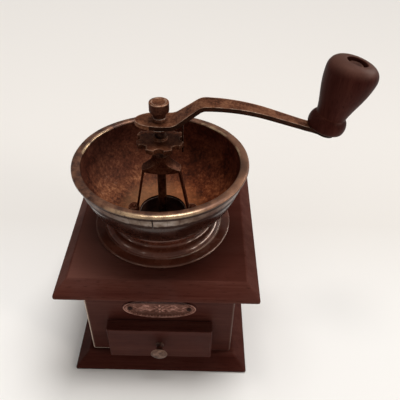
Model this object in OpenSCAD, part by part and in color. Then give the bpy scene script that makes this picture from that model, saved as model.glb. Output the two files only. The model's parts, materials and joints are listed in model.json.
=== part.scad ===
// Box coffee mill: wooden case with a drawer, an open round hopper and a conical hand-cranked burr.
// Millimetres, +Z up, front towards -Y, origin at the centre of the base's underside.

/* [Case] */
// Width of the square base board
base_w = 126; // [120:1:136]
// Thickness of the base board
base_t = 10.3; // [8:0.1:14]
// Upright edge of the base board, below its bevel
base_edge = 2.5; // [1.5:0.1:5]
// Width of the base board's bevel, seen from above
base_bevel = 9.4; // [5:0.1:11]
// Outside width of the square case
body_w = 102.2; // [98:0.2:106]
// Height of the case panels
body_h = 74; // [72:0.5:90]
// Thickness of the case panels
panel_t = 9; // [7:0.5:11]
// Rounding of the case's upright corners
corner_r = 1.6; // [0.5:0.1:3]
// Width of the square top board
top_w = 130; // [122:1:140]
// Thickness of the top board
top_t = 11.4; // [9:0.1:15]
// Upright edge of the top board, below its bevel
top_edge = 3.4; // [2:0.1:6]
// Width of the top board's bevel, seen from above
top_bevel = 8.4; // [5:0.1:11]

/* [Drawer] */
// Width of the drawer's front board
front_w = 73; // [66:0.5:78]
// Height of the drawer's front board
front_h = 31; // [28:0.5:34]
// Thickness of the drawer's front board
front_t = 9.3; // [7:0.1:12]
// Height of the front board's lower edge above the base board
front_lift = 5.7; // [4:0.1:8]
// How far the front board laps over its opening all round
front_lap = 3; // [2:0.1:4]
// Thickness of the drawer's sides and back
drawer_wall = 5; // [3.5:0.1:6]
// Thickness of the drawer's floor
drawer_floor_t = 3; // [2:0.1:4]
// Free space between the drawer's back and the case
drawer_back_gap = 5.5; // [3:0.5:20]
// Free space around the drawer in its opening
drawer_gap = 0.3; // [0.2:0.05:0.6]
// Diameter of the knob's button
knob_d = 12; // [9:0.2:15]
// How far the knob's button stands out from the drawer
knob_reach = 9.5; // [7:0.1:13]

/* [Badge] */
// Width of the oval plate
badge_w = 50; // [40:0.5:56]
// Height of the oval plate
badge_h = 20; // [16:0.5:22]
// Thickness of the oval plate
badge_t = 1; // [0.6:0.1:1.6]
// Height of the plate's centre above the drawer's front board
badge_lift = 13.3; // [11.5:0.1:15]
// Distance between the two nails
badge_nail_gap = 40; // [30:0.5:43]

/* [Hopper] */
// Radius of the throat hole in the bowl's floor
throat_r = 16.2; // [15.8:0.1:18]
// Height of the throat's lip above the top board
throat_h = 9.3; // [9:0.1:12]
// Inside radius of the bowl's mouth
mouth_r = 51.1; // [49:0.1:54]
// Radius of the bowl's curve
bowl_curve = 36.5; // [34:0.1:38]
// Wall of the bowl
bowl_wall = 1.3; // [1:0.1:2]
// Upright wall between the bowl's curve and its rolled rim
mouth_lip = 5.7; // [4:0.1:8]
// Half thickness of the rim's flattened roll
rim_roll_r = 1.6; // [1.3:0.1:2]
// Width of the rim's flattened roll
rim_w = 5.8; // [4.6:0.1:7]
// Thickness of the hoop under the rim
hoop_t = 1; // [0.6:0.1:1.4]
// Height of the hoop under the rim
hoop_h = 9.6; // [7:0.1:11]
// Gap at the hoop's butt seam
hoop_seam = 0.8; // [0.4:0.1:1.5]
// Radius of the foot's flange
flange_r = 47.3; // [44:0.1:52]
// Thickness of the foot's flange
flange_t = 1.9; // [1.4:0.1:3]
// Radius of the quarter round above the flange
ovolo_r = 4.2; // [3.5:0.1:5]
// Radius at which the quarter round meets the neck
ovolo_seat_r = 36.2; // [36.1:0.1:39]
// Radius of the foot's neck
neck_r = 34.2; // [33.4:0.1:35]
// Radius of the bead under the bowl
bead_r = 2.5; // [2:0.1:3]
// Inside radius of the foot
foot_bore_r = 31; // [29:0.1:32]

/* [Burrs] */
// Outside radius of the burr ring
ring_r = 20.4; // [20:0.1:22]
// Free space between the burr ring's flange and the case
ring_side_gap = 1.1; // [0.5:0.1:2]
// Thickness of the burr ring's flange
ring_flange_t = 3.5; // [2.5:0.1:5]
// Depth of the burr ring below the top board
ring_drop = 18.3; // [17:0.1:20]
// Radius of the ring's grinding edge
ring_edge_r = 16.9; // [16.4:0.1:17.4]
// Radial gap between the two burrs
burr_gap = 0.7; // [0.6:0.05:1]
// Height of the cone burr
cone_h = 25.5; // [23:0.1:26]
// Number of fine teeth on each burr
tooth_count = 24; // [16:2:28]
// Number of spiral flutes on the cone burr
flute_count = 5; // [4:1:6]

/* [Spindle] */
// Diameter of the spindle
spindle_d = 5.8; // [5:0.1:6.2]
// Radial clearance of a turning fit
run_fit = 0.05; // [0.03:0.01:0.08]
// Height of the bridge above the throat
bridge_h = 35; // [32:0.1:38]
// Height of the bridge's bell
bell_h = 12.6; // [10:0.1:15]
// Half length of the bridge's bell, along the legs
bell_reach = 12.8; // [12:0.1:13]
// Width of the bridge's bell, across the legs
bell_w = 12; // [11:0.2:14]
// Width of the bridge's legs
leg_w = 5; // [4:0.1:7]
// Thickness of the bridge's legs
leg_t = 1.5; // [1.2:0.1:2]
// Outside diameter of the bearing bush
bush_d = 8.4; // [8:0.1:9]
// Diameter of the bush's head and of the thrust collar
collar_d = 10; // [9:0.1:11]
// Height of the bush's head
bush_head_h = 2.5; // [2:0.1:4]
// Height of the thrust collar
collar_h = 5.2; // [4:0.1:6]
// Outside radius of the star wheel
wheel_r = 15; // [14.2:0.1:16]
// Thickness of the star wheel
wheel_t = 3.4; // [2.5:0.1:4.5]
// Number of notches in the star wheel
notch_count = 8; // [6:1:8]
// Radius of each notch
notch_r = 3.3; // [2.8:0.1:3.4]
// Height of the star wheel's hub
hub_h = 1.5; // [1:0.1:2.5]
// Room left for the spindle to rise and fall
lift_room = 1.5; // [1:0.1:2.5]
// Height of the shoulder that carries the crank
shoulder_h = 5.3; // [4:0.1:7]

/* [Crank] */
// Width of the crank's eye
eye_w = 18; // [17:0.1:22]
// Distance from the spindle's axis to the eye's rounded end
eye_reach = 15.2; // [12:0.1:18]
// Thickness of the crank's strip
strip_t = 2.8; // [2.2:0.1:3.5]
// Rise of the swan neck
neck_rise = 12.4; // [10:0.1:15]
// Slope of the swan neck
neck_slope = 37; // [33:1:45]
// Radius of the swan neck's bends
neck_bend = 9; // [7:0.1:12]
// Distance from the spindle to the handle
crank_reach = 100; // [92:0.5:110]
// Width of the strip at the crest
crest_w = 12.6; // [11:0.1:15]
// Width of the strip before the handle
tip_w = 8.6; // [7:0.1:10]
// Length of the bend past the crest
droop_run = 38; // [30:0.5:50]
// Slope of the strip past that bend
droop_slope = 17; // [12:0.5:20]
// Outward lean of the handle and slope of the tip under it
handle_tilt = 14; // [8:0.5:18]
// Largest diameter of the handle
handle_d = 31.6; // [28:0.2:36]
// Length of the handle
handle_len = 44; // [40:0.5:50]
// Diameter of the bead at the handle's foot
handle_bead_d = 22.8; // [20:0.2:25]
// Diameter of the handle's pin
pin_d = 5; // [4:0.1:6]
// Diameter of the recess over the pin's head
recess_d = 13; // [12:0.1:15]
// Diameter of the thumb nut
nut_d = 12.2; // [11:0.1:14]
// Height of the thumb nut
nut_h = 10; // [9.5:0.1:13]
// Height of the captive washer under the thumb nut
cap_washer_h = 2; // [1.5:0.1:3]
// Thickness of the crank's washer and of the lock spring
washer_t = 1; // [0.8:0.1:1.5]
// Width of the lock spring's tongue
tongue_w = 3; // [2.4:0.1:3.4]

/* [Hidden] */
$fn = 64;

// Paint and metal colours
stain = "#3a1c18";
bare_wood = "#8a6a48";
japan = "#2c1512";
rust = "#64412d";
steel = "#8d8a86";
iron = "#4a4644";
brass = "#8f6a42";

// Clearances
seat_gap = 0.02;
flat_gap = 0.1;
hole_gap = 0.2;
past = 1;

// Levels from the base upwards
case_z = base_t;
board_z = case_z + body_h;
top_z = board_z + top_t;
throat_z = top_z + throat_h;
bowl_centre_r = mouth_r - bowl_curve;
bowl_centre_z = throat_z + sqrt(pow(bowl_curve, 2) - pow(throat_r - bowl_centre_r, 2));
bowl_outer = bowl_curve + bowl_wall;
roll_z = bowl_centre_z + mouth_lip;
bell_z = throat_z + bridge_h;
bush_z = bell_z + bell_h;
collar_z = bush_z + bush_head_h + flat_gap;
wheel_z = collar_z + collar_h + flat_gap;
shoulder_z = wheel_z + wheel_t + hub_h + lift_room;
washer_z = shoulder_z + shoulder_h;
spring_z = washer_z + washer_t;
eye_z = spring_z + washer_t;
eye_top = eye_z + strip_t;
cap_z = eye_top + flat_gap;
nut_z = cap_z + cap_washer_h + flat_gap;

// Case and drawer
case_half = body_w / 2;
inner_half = case_half - panel_t;
front_z = case_z + front_lift;
opening_w = front_w - 2 * front_lap;
opening_z = front_z + front_lap;
opening_h = front_h - 2 * front_lap;
drawer_w = opening_w - 2 * drawer_gap;
drawer_z = opening_z + drawer_gap;
drawer_h = opening_h - 2 * drawer_gap;
drawer_y = -case_half - drawer_gap;
drawer_depth = body_w - panel_t - drawer_back_gap + drawer_gap;
runner_w = 6;
runner_h = opening_z - case_z;
knob_z = front_z + front_h / 2;
knob_tail_r = 1.6;
knob_tail = 0.6 * front_t;
badge_z = front_z + front_h + badge_lift;
badge_field_t = 0.6 * badge_t;
nail_r = 0.9;

// Wood screws in the base
base_screw_r = 1.8;
base_screw_head_r = 3.6;
base_screw_len = 16;
base_screw_sink = 0.5;
base_screw_y = case_half - panel_t / 2;
base_screw_x = 0.6 * base_screw_y;

// Burr ring, its screws and the lower bridge
spindle_r = spindle_d / 2;
ring_z = board_z - ring_drop;
ring_flange_z = board_z - ring_flange_t;
ring_top = throat_z - bowl_wall - hole_gap;
ring_bore_r = throat_r - 0.5;
ring_screw_r = 1.8;
ring_screw_inset = 4.3;
ring_flange_r = inner_half - ring_side_gap;
ring_screw_place = ring_flange_r - ring_screw_inset;
ring_screw_top = top_z + 3.5;
ring_screw_count = 3;
screw_head_h = 2.2;
grind_h = 5;
grind_slope = 0.27;
crush_h = 10;
cone_low_r = ring_edge_r - burr_gap;
cone_edge_r = cone_low_r - grind_h * grind_slope;
cone_z = ring_z + 0.2;
cone_top_r = 6;
tooth_w = 1.1;
tooth_slant = 18;
flute_r = 2.1;
flute_slant = 32;
strap_t = 2.2;
strap_w = 10;
strap_gap = 1.6;
strap_foot_len = 11;
strap_inner = ring_r + strap_gap;
strap_foot = strap_inner + strap_foot_len;
strap_screw_x = strap_inner + strap_t + 0.4 * strap_foot_len;
guide_r = 6;
guide_h = 7;
guide_drop = 15;
guide_z = ring_z - guide_drop;
burr_nut_r = 5.4;
burr_nut_h = 4.2;
burr_nut_z = cone_z - burr_nut_h;
spindle_tail = 1.5;
spindle_low = guide_z - spindle_tail;
spindle_collar_r = spindle_r + 1.5;
spindle_collar_z = cone_z + cone_h;
spindle_collar_h = 3;

// Bridge feet on the bowl's floor
foot_r = 3.8;
foot_x = throat_r + foot_r + hole_gap;
foot_h = 2.4;
rivet_r = 1.1;
rivet_head_r = 1.8;
rivet_head_h = 1.3;
foot_z = bowl_centre_z - sqrt(pow(bowl_curve, 2) - pow(foot_x - bowl_centre_r, 2));
foot_top = foot_z + foot_h;

// Crank
square_w = spindle_r * sqrt(2) - 0.04;
shoulder_step = 0.7;
stud_step = 0.95;
stud_r = spindle_r - stud_step;
stud_top = nut_z + nut_h - 2.5;
eye_hole = square_w + 2 * seat_gap;
cap_washer_r = 4.6;
crank_washer_r = 7.6;
flat_end = cap_washer_r + 1;
tongue_x = wheel_r - 1.5;
tongue_drop = wheel_z - 6;
neck_straight = (neck_rise - 2 * neck_bend * (1 - cos(neck_slope))) / sin(neck_slope);
crest_x = flat_end + 2 * neck_bend * sin(neck_slope) + neck_straight * cos(neck_slope);
crest_z = eye_top + neck_rise;
tip_len = 12;
droop_end_x = crank_reach - tip_len;
droop_r = droop_run / sin(droop_slope);
droop_z = crest_z - droop_r * (1 - cos(droop_slope));
droop_end_z = droop_z - (droop_end_x - crest_x - droop_run) * tan(droop_slope);
handle_z = droop_end_z - tip_len * tan(handle_tilt);
tip_r = 6.6;
strip_end = crank_reach + tip_r + 2;
grip_gap = 0.3;
pin_r = pin_d / 2;
pin_head_r = recess_d / 2 - 2;
recess_h = 4;

// Points of a circular arc
function arc(cx, cy, r, a0, a1, n) =
    [for (i = [0 : n]) let (a = a0 + (a1 - a0) * i / n) [cx + r * cos(a), cy + r * sin(a)]];

// Points of a cubic curve with two handles
function curve(p, q, r, s, n) =
    [for (i = [0 : n])
        let (t = i / n, u = 1 - t)
        u * u * u * p + 3 * u * u * t * q + 3 * u * t * t * r + t * t * t * s];

// Square board whose four upper edges are bevelled
module bevelled_board(w, t, edge, bevel) {
    half = w / 2;
    section = [[-half, 0], [half, 0], [half, edge], [half - bevel, t], [bevel - half, t], [-half, edge]];
    intersection() {
        rotate([90, 0, 0])
            linear_extrude(w, center = true)
                polygon(section);
        rotate([90, 0, 90])
            linear_extrude(w, center = true)
                polygon(section);
    }
}

// Plan of a full-width panel with two rounded outer corners, its outer face at y = 0
module panel_plan() {
    translate([corner_r - case_half, 0])
        square([body_w - 2 * corner_r, panel_t]);
    translate([-case_half, corner_r])
        square([body_w, panel_t - corner_r]);
    for (side = [-1, 1])
        translate([side * (case_half - corner_r), corner_r])
            circle(corner_r);
}

// Pilot holes for the base screws in the panels' lower edges
module base_screw_holes(r) {
    for (x = [-1, 1], y = [-1, 1])
        translate([x * base_screw_x, y * base_screw_y, -past])
            cylinder(r = r, h = base_screw_len + past + hole_gap);
}

module countersunk_screw(r, head_r, length) {
    rotate_extrude()
        polygon([[0, 0], [head_r, 0], [r, head_r - r], [r, length - 2 * r], [0, length]]);
}

module pan_screw(r, head_r, head_h, length) {
    rotate_extrude()
        polygon(concat(
            [[0, -head_h]],
            curve([head_r * 0.5, -head_h], [head_r * 0.9, -head_h], [head_r, -head_h * 0.7], [head_r, 0], 6),
            [[r, 0], [r, length], [0, length]]
        ));
}

module base_board() {
    color(stain)
        difference() {
            bevelled_board(base_w, base_t, base_edge, base_bevel);
            base_screw_holes(base_screw_r + hole_gap);
            for (x = [-1, 1], y = [-1, 1])
                translate([x * base_screw_x, y * base_screw_y, -past])
                    cylinder(
                        r1 = base_screw_head_r + past + base_screw_sink + hole_gap,
                        r2 = base_screw_r + hole_gap,
                        h = base_screw_head_r - base_screw_r + past + base_screw_sink
                    );
        }
}

module base_screws() {
    color(steel)
        for (x = [-1, 1], y = [-1, 1])
            translate([x * base_screw_x, y * base_screw_y, base_screw_sink])
                countersunk_screw(base_screw_r, base_screw_head_r, base_screw_len - base_screw_sink);
}

module front_panel() {
    color(stain)
        difference() {
            translate([0, -case_half, case_z])
                linear_extrude(body_h)
                    panel_plan();
            translate([-opening_w / 2, -case_half - past, opening_z])
                cube([opening_w, panel_t + 2 * past, opening_h]);
            base_screw_holes(base_screw_r + seat_gap);
            badge_nail_holes();
        }
}

module back_panel() {
    color(stain)
        difference() {
            translate([0, case_half, case_z])
                linear_extrude(body_h)
                    mirror([0, 1])
                        panel_plan();
            base_screw_holes(base_screw_r + seat_gap);
        }
}

module side_panel(side) {
    color(stain)
        translate([side * (case_half - panel_t / 2), 0, case_z + body_h / 2])
            cube([panel_t, 2 * inner_half, body_h], center = true);
}

module left_panel() {
    side_panel(-1);
}

module right_panel() {
    side_panel(1);
}

module top_board() {
    color(stain)
        difference() {
            translate([0, 0, board_z])
                bevelled_board(top_w, top_t, top_edge, top_bevel);
            translate([0, 0, board_z - past])
                cylinder(r = ring_r + hole_gap, h = top_t + 2 * past);
            ring_screw_places()
                translate([0, 0, board_z - past])
                    cylinder(r = ring_screw_r + hole_gap, h = top_t + 2 * past);
        }
}

// Wooden strip on the base board that carries one side of the drawer
module runner(side) {
    color(bare_wood)
        translate([side * (opening_w - runner_w) / 2, 0, case_z + runner_h / 2])
            cube([runner_w, 2 * inner_half, runner_h], center = true);
}

module left_runner() {
    runner(-1);
}

module right_runner() {
    runner(1);
}

module oval(w, h) {
    polygon([for (i = [0 : 47]) [w / 2 * cos(i * 7.5), h / 2 * sin(i * 7.5)]]);
}

module badge_nail_holes() {
    for (side = [-1, 1])
        translate([side * badge_nail_gap / 2, -case_half - badge_t - past, badge_z])
            rotate([-90, 0, 0])
                cylinder(r = nail_r + seat_gap, h = badge_t + panel_t * 0.7 + past);
}

module badge_plate() {
    border = 1.2;
    color(brass)
        difference() {
            translate([0, -case_half - seat_gap, badge_z])
                rotate([90, 0, 0]) {
                    linear_extrude(badge_field_t)
                        oval(badge_w, badge_h);
                    linear_extrude(badge_t)
                        difference() {
                            oval(badge_w, badge_h);
                            oval(badge_w - 2 * border, badge_h - 2 * border);
                        }
                }
            badge_nail_holes();
        }
}

module badge_nails() {
    head_r = 1.7;
    head_h = 1;
    color(brass)
        for (side = [-1, 1])
            translate([side * badge_nail_gap / 2, -case_half - badge_field_t - 2 * seat_gap, badge_z])
                rotate([-90, 0, 0])
                    pan_screw(nail_r, head_r, head_h, badge_t + panel_t * 0.6);
}

// Section of the bowl's outside, larger by a gap, around the centre of its curve
module bowl_circle(r) {
    translate([bowl_centre_r, bowl_centre_z])
        circle(r, $fn = 128);
}

// Section of the bowl's curve and of the upright wall above it
module bowl_section(r) {
    bowl_circle(r);
    translate([0, bowl_centre_z])
        square([bowl_centre_r + r, bowl_curve]);
}

module hopper_foot() {
    ovolo_z = top_z + flange_t;
    bead_z = throat_z + 3.8;
    cove_r = 1.8;
    color(japan)
        difference() {
            rotate_extrude()
                difference() {
                    union() {
                        translate([foot_bore_r, top_z])
                            square([flange_r - flange_t / 2 - foot_bore_r, flange_t]);
                        translate([flange_r - flange_t / 2, top_z + flange_t / 2])
                            circle(flange_t / 2);
                        intersection() {
                            translate([ovolo_seat_r, ovolo_z])
                                circle(ovolo_r);
                            translate([ovolo_seat_r, ovolo_z])
                                square(ovolo_r);
                        }
                        translate([foot_bore_r, top_z])
                            square([ovolo_seat_r - foot_bore_r, flange_t + ovolo_r]);
                        difference() {
                            translate([foot_bore_r, ovolo_z + ovolo_r])
                                square([neck_r + cove_r - foot_bore_r, cove_r]);
                            translate([neck_r + cove_r, ovolo_z + ovolo_r + cove_r])
                                circle(cove_r);
                        }
                        translate([foot_bore_r, top_z])
                            square([neck_r - foot_bore_r, bead_z + bead_r - top_z]);
                        translate([neck_r, bead_z])
                            circle(bead_r);
                    }
                    bowl_circle(bowl_outer + seat_gap);
                }
            ring_screw_places()
                translate([0, 0, top_z - past])
                    cylinder(r = ring_screw_r + seat_gap, h = ring_screw_top - top_z + past + hole_gap);
        }
}

// Section of the rim's roll, flattened by use
module rim_section() {
    for (x = [rim_roll_r, rim_w - rim_roll_r])
        translate([mouth_r + x, roll_z])
            circle(rim_roll_r);
    translate([mouth_r + rim_roll_r, roll_z - rim_roll_r])
        square([rim_w - 2 * rim_roll_r, 2 * rim_roll_r]);
}

module hopper_bowl() {
    color(rust)
        difference() {
            rotate_extrude($fn = 128) {
                intersection() {
                    difference() {
                        bowl_section(bowl_outer);
                        bowl_section(bowl_curve);
                    }
                    translate([throat_r, throat_z - 2 * bowl_wall])
                        square([mouth_r, roll_z - throat_z + 2 * bowl_wall]);
                }
                rim_section();
            }
            bridge_rivet_places()
                translate([0, 0, foot_z - 2 * bowl_wall])
                    cylinder(r = rivet_r + seat_gap, h = 4 * bowl_wall);
        }
}

module rim_hoop() {
    hoop_inset = 0.9;
    hoop_top = roll_z - rim_roll_r - seat_gap;
    hoop_low = hoop_top - hoop_h;
    low_r = bowl_centre_r + sqrt(pow(bowl_outer, 2) - pow(bowl_centre_z - hoop_low, 2)) + seat_gap;
    high_r = mouth_r + rim_w - hoop_t - hoop_inset;
    seam_angle = -95;
    color(steel)
        difference() {
            rotate_extrude($fn = 128)
                difference() {
                    polygon([
                        [low_r, hoop_low], [low_r + hoop_t, hoop_low],
                        [high_r + hoop_t, hoop_top], [high_r, hoop_top]
                    ]);
                    bowl_circle(bowl_outer + seat_gap);
                }
            rotate(seam_angle)
                translate([0, -hoop_seam / 2, hoop_low - past])
                    cube([high_r + 2 * hoop_t, hoop_seam, hoop_h + 2 * past]);
        }
}

module bridge_rivet_places() {
    for (side = [-1, 1])
        translate([side * foot_x, 0, 0])
            children();
}

// Bell over the throat on two legs whose feet follow the bowl's floor
module bridge() {
    bulge = 2.4;
    lens_r = (pow(bell_reach, 2) + pow(bulge, 2)) / (2 * bulge);
    leg_top_x = bell_reach - 0.5;
    leg_lean = leg_t * 1.1;
    color(rust)
        difference() {
            union() {
                intersection() {
                    rotate_extrude()
                        polygon(concat(
                            [[0, bell_z], [bell_reach, bell_z]],
                            curve([bell_reach, bell_z + 1.6], [bell_reach * 0.72, bell_z + bell_h * 0.3],
                                [collar_d / 2 + 1, bell_z + bell_h * 0.5], [collar_d / 2 + 0.4, bush_z], 10),
                            [[0, bush_z]]
                        ));
                    translate([0, 0, bell_z - past])
                        linear_extrude(bell_h + 2 * past)
                            intersection() {
                                translate([0, bell_w / 2 - lens_r])
                                    circle(lens_r, $fn = 128);
                                translate([0, lens_r - bell_w / 2])
                                    circle(lens_r, $fn = 128);
                            }
                }
                for (side = [0, 1])
                    mirror([side, 0, 0])
                        rotate([90, 0, 0])
                            linear_extrude(leg_w, center = true)
                                polygon([
                                    [leg_top_x - leg_lean, bell_z + 1.2], [leg_top_x, bell_z + 1.2],
                                    [foot_x - foot_r + leg_t + 0.4, foot_top - 0.6],
                                    [foot_x - foot_r + 0.4, foot_top - 0.6]
                                ]);
                intersection() {
                    bridge_rivet_places()
                        translate([0, 0, throat_z])
                            cylinder(r = foot_r, h = foot_top - throat_z);
                    rotate_extrude($fn = 128)
                        intersection() {
                            bowl_circle(bowl_curve - seat_gap);
                            translate([throat_r - foot_r, throat_z])
                                square([2 * foot_r + foot_x, bridge_h]);
                        }
                }
            }
            translate([0, 0, bell_z - past])
                cylinder(r = bush_d / 2 + seat_gap, h = bell_h + 2 * past);
            bridge_rivet_places()
                translate([0, 0, throat_z - past])
                    cylinder(r = rivet_r + seat_gap, h = foot_top - throat_z + 2 * past);
        }
}

module bridge_rivets() {
    tail = foot_top - throat_z + bowl_wall;
    color(iron)
        bridge_rivet_places()
            translate([0, 0, foot_top + seat_gap])
                mirror([0, 0, 1])
                    pan_screw(rivet_r, rivet_head_r, rivet_head_h, tail);
}

module bearing_bush() {
    color(brass)
        difference() {
            union() {
                translate([0, 0, bell_z])
                    cylinder(d = bush_d, h = bell_h + bush_head_h);
                translate([0, 0, bush_z + seat_gap])
                    cylinder(d = collar_d, h = bush_head_h - seat_gap);
            }
            translate([0, 0, bell_z - past])
                cylinder(r = spindle_r + run_fit, h = bell_h + bush_head_h + 2 * past);
        }
}

module ring_screw_places() {
    for (i = [0 : ring_screw_count - 1])
        rotate(90 + i * 360 / ring_screw_count)
            translate([ring_screw_place, 0, 0])
                children();
}

module strap_screw_places() {
    for (side = [-1, 1])
        translate([side * strap_screw_x, 0, 0])
            children();
}

// Fixed burr: a flanged ring whose lower bore is cut with slanted teeth
module burr_ring() {
    edge_top_r = ring_edge_r - grind_h * grind_slope;
    color(iron)
        difference() {
            rotate_extrude()
                polygon([
                    [ring_edge_r, ring_z], [ring_r, ring_z], [ring_r, ring_flange_z],
                    [ring_flange_r, ring_flange_z], [ring_flange_r, board_z], [ring_r, board_z],
                    [ring_r, ring_top], [ring_bore_r, ring_top], [ring_bore_r, ring_z + grind_h + crush_h],
                    [edge_top_r, ring_z + grind_h]
                ]);
            for (i = [0 : tooth_count - 1])
                rotate(i * 360 / tooth_count)
                    translate([ring_edge_r, 0, ring_z])
                        rotate([tooth_slant, 0, 0])
                            cube([2 * tooth_w, tooth_w, 3 * grind_h], center = true);
            ring_screw_places()
                translate([0, 0, ring_flange_z - past])
                    cylinder(r = ring_screw_r + hole_gap, h = ring_flange_t + 2 * past);
            strap_screw_places()
                translate([0, 0, ring_flange_z - past])
                    cylinder(r = ring_screw_r + seat_gap, h = ring_flange_t + past - 0.4);
        }
}

module burr_ring_screws() {
    color(steel)
        ring_screw_places()
            translate([0, 0, ring_flange_z - seat_gap])
                pan_screw(ring_screw_r, 2 * ring_screw_r, screw_head_h, ring_screw_top - ring_flange_z);
}

// Strap under the burr ring that guides the spindle's lower end
module lower_bridge() {
    strap_z = ring_flange_z - seat_gap;
    strap_outer = strap_inner + strap_t;
    color(iron)
        difference() {
            union() {
                rotate([90, 0, 0])
                    linear_extrude(strap_w, center = true)
                        for (side = [0, 1])
                            mirror([side, 0])
                                polygon([
                                    [0, guide_z], [strap_outer, guide_z], [strap_outer, strap_z - strap_t],
                                    [strap_foot, strap_z - strap_t], [strap_foot, strap_z],
                                    [strap_inner, strap_z], [strap_inner, guide_z + strap_t],
                                    [0, guide_z + strap_t]
                                ]);
                translate([0, 0, guide_z])
                    cylinder(r = guide_r, h = guide_h);
            }
            translate([0, 0, guide_z - past])
                cylinder(r = spindle_r + run_fit, h = guide_h + 2 * past);
            strap_screw_places()
                translate([0, 0, strap_z - strap_t - past])
                    cylinder(r = ring_screw_r + hole_gap, h = strap_t + 2 * past);
        }
}

module lower_bridge_screws() {
    color(steel)
        strap_screw_places()
            translate([0, 0, ring_flange_z - strap_t - 2 * seat_gap])
                pan_screw(ring_screw_r, 2 * ring_screw_r, screw_head_h, strap_t + ring_flange_t - 0.8);
}

module thrust_collar() {
    chamfer = 0.4;
    color(rust)
        translate([0, 0, collar_z])
            difference() {
                rotate_extrude()
                    polygon([
                        [0, 0], [collar_d / 2 - chamfer, 0], [collar_d / 2, chamfer],
                        [collar_d / 2, collar_h - chamfer], [collar_d / 2 - chamfer, collar_h], [0, collar_h]
                    ]);
                translate([0, 0, -past])
                    cylinder(r = spindle_r + run_fit, h = collar_h + 2 * past);
            }
}

// Adjusting wheel: round notches leave a star of teeth, with a hub that holds the thread
module star_wheel() {
    notch_place = wheel_r + 0.5;
    hub_r = collar_d / 2 - 0.4;
    color(rust)
        translate([0, 0, wheel_z])
            difference() {
                union() {
                    linear_extrude(wheel_t)
                        difference() {
                            circle(wheel_r, $fn = 96);
                            for (i = [0 : notch_count - 1])
                                rotate(i * 360 / notch_count)
                                    translate([notch_place, 0])
                                        circle(notch_r, $fn = 32);
                        }
                    cylinder(r = hub_r, h = wheel_t + hub_h);
                }
                translate([0, 0, -past])
                    cylinder(r = spindle_r + run_fit, h = wheel_t + hub_h + 2 * past);
            }
}

module spindle() {
    color(steel) {
        translate([0, 0, spindle_low])
            cylinder(r = spindle_r, h = washer_z - spindle_low);
        translate([0, 0, spindle_collar_z + seat_gap])
            cylinder(r = spindle_collar_r, h = spindle_collar_h);
        translate([0, 0, shoulder_z])
            cylinder(r = spindle_r + shoulder_step, h = shoulder_h);
        translate([0, 0, (washer_z + eye_top) / 2])
            cube([square_w, square_w, eye_top - washer_z], center = true);
        translate([0, 0, washer_z])
            cylinder(r = stud_r, h = stud_top - washer_z);
    }
}

// Turning burr: spiral flutes draw the beans down to fine slanted teeth
module cone_burr() {
    color(iron)
        difference() {
            translate([0, 0, cone_z])
                rotate_extrude()
                    polygon(concat(
                        [[0, 0], [cone_low_r, 0]],
                        curve([cone_edge_r, grind_h], [cone_low_r - 3, grind_h + 4],
                            [cone_top_r + 2, cone_h - 8], [cone_top_r, cone_h], 8),
                        [[0, cone_h]]
                    ));
            for (i = [0 : tooth_count - 1])
                rotate(i * 360 / tooth_count)
                    translate([cone_low_r, 0, cone_z])
                        rotate([-tooth_slant, 0, 0])
                            cube([2 * tooth_w, tooth_w, 3 * grind_h], center = true);
            for (i = [0 : flute_count - 1])
                rotate(i * 360 / flute_count)
                    translate([cone_low_r - 3, 0, cone_z + grind_h])
                        rotate([-flute_slant, -22, 0])
                            cylinder(r = flute_r, h = 2 * cone_h, $fn = 32);
            translate([0, 0, cone_z - past])
                cylinder(r = spindle_r + seat_gap, h = cone_h + 2 * past);
        }
}

module burr_nut() {
    color(steel)
        difference() {
            translate([0, 0, burr_nut_z - seat_gap])
                cylinder(r = burr_nut_r, h = burr_nut_h, $fn = 6);
            translate([0, 0, burr_nut_z - past])
                cylinder(r = spindle_r + seat_gap, h = burr_nut_h + 2 * past);
        }
}

module square_hole(z, h) {
    translate([-eye_hole / 2, -eye_hole / 2, z - past])
        cube([eye_hole, eye_hole, h + 2 * past]);
}

module crank_washer() {
    color(rust)
        difference() {
            translate([0, 0, washer_z])
                cylinder(r = crank_washer_r, h = washer_t);
            square_hole(washer_z, washer_t);
        }
}

// Spring leaf clamped under the crank, its bent tongue standing in a notch of the star wheel
module lock_spring() {
    ring_r = crank_washer_r - 0.8;
    color(rust)
        difference() {
            union() {
                translate([0, 0, spring_z])
                    cylinder(r = ring_r, h = washer_t);
                translate([0, -tongue_w / 2, spring_z])
                    cube([tongue_x + washer_t, tongue_w, washer_t]);
                translate([tongue_x, -tongue_w / 2, tongue_drop])
                    cube([washer_t, tongue_w, spring_z + washer_t - tongue_drop]);
            }
            square_hole(spring_z, washer_t);
        }
}

// Upper side of the crank's strip from the eye over the swan neck to the tip
function strip_top() =
    let (
        first = arc(flat_end, eye_top + neck_bend, neck_bend, -90, neck_slope - 90, 8),
        second = arc(crest_x, crest_z - neck_bend, neck_bend, 90 + neck_slope, 90, 8),
        step = droop_slope / 12,
        droop = arc(crest_x, crest_z - droop_r, droop_r, 90 - step, 90 - droop_slope, 11),
        tip = [[strip_end, handle_z - (strip_end - crank_reach) * tan(handle_tilt)]]
    )
    concat([[-eye_reach - past, eye_top]], first, second, droop, [[droop_end_x, droop_end_z]], tip);

// The same line moved square to itself by the strip's thickness
function lower_side(line, t) =
    [for (i = [0 : len(line) - 1])
        let (
            a = line[max(i - 1, 0)],
            b = line[min(i + 1, len(line) - 1)],
            d = (b - a) / norm(b - a)
        )
        line[i] + t * [d[1], -d[0]]];

function reversed(line) = [for (i = [len(line) - 1 : -1 : 0]) line[i]];

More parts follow.
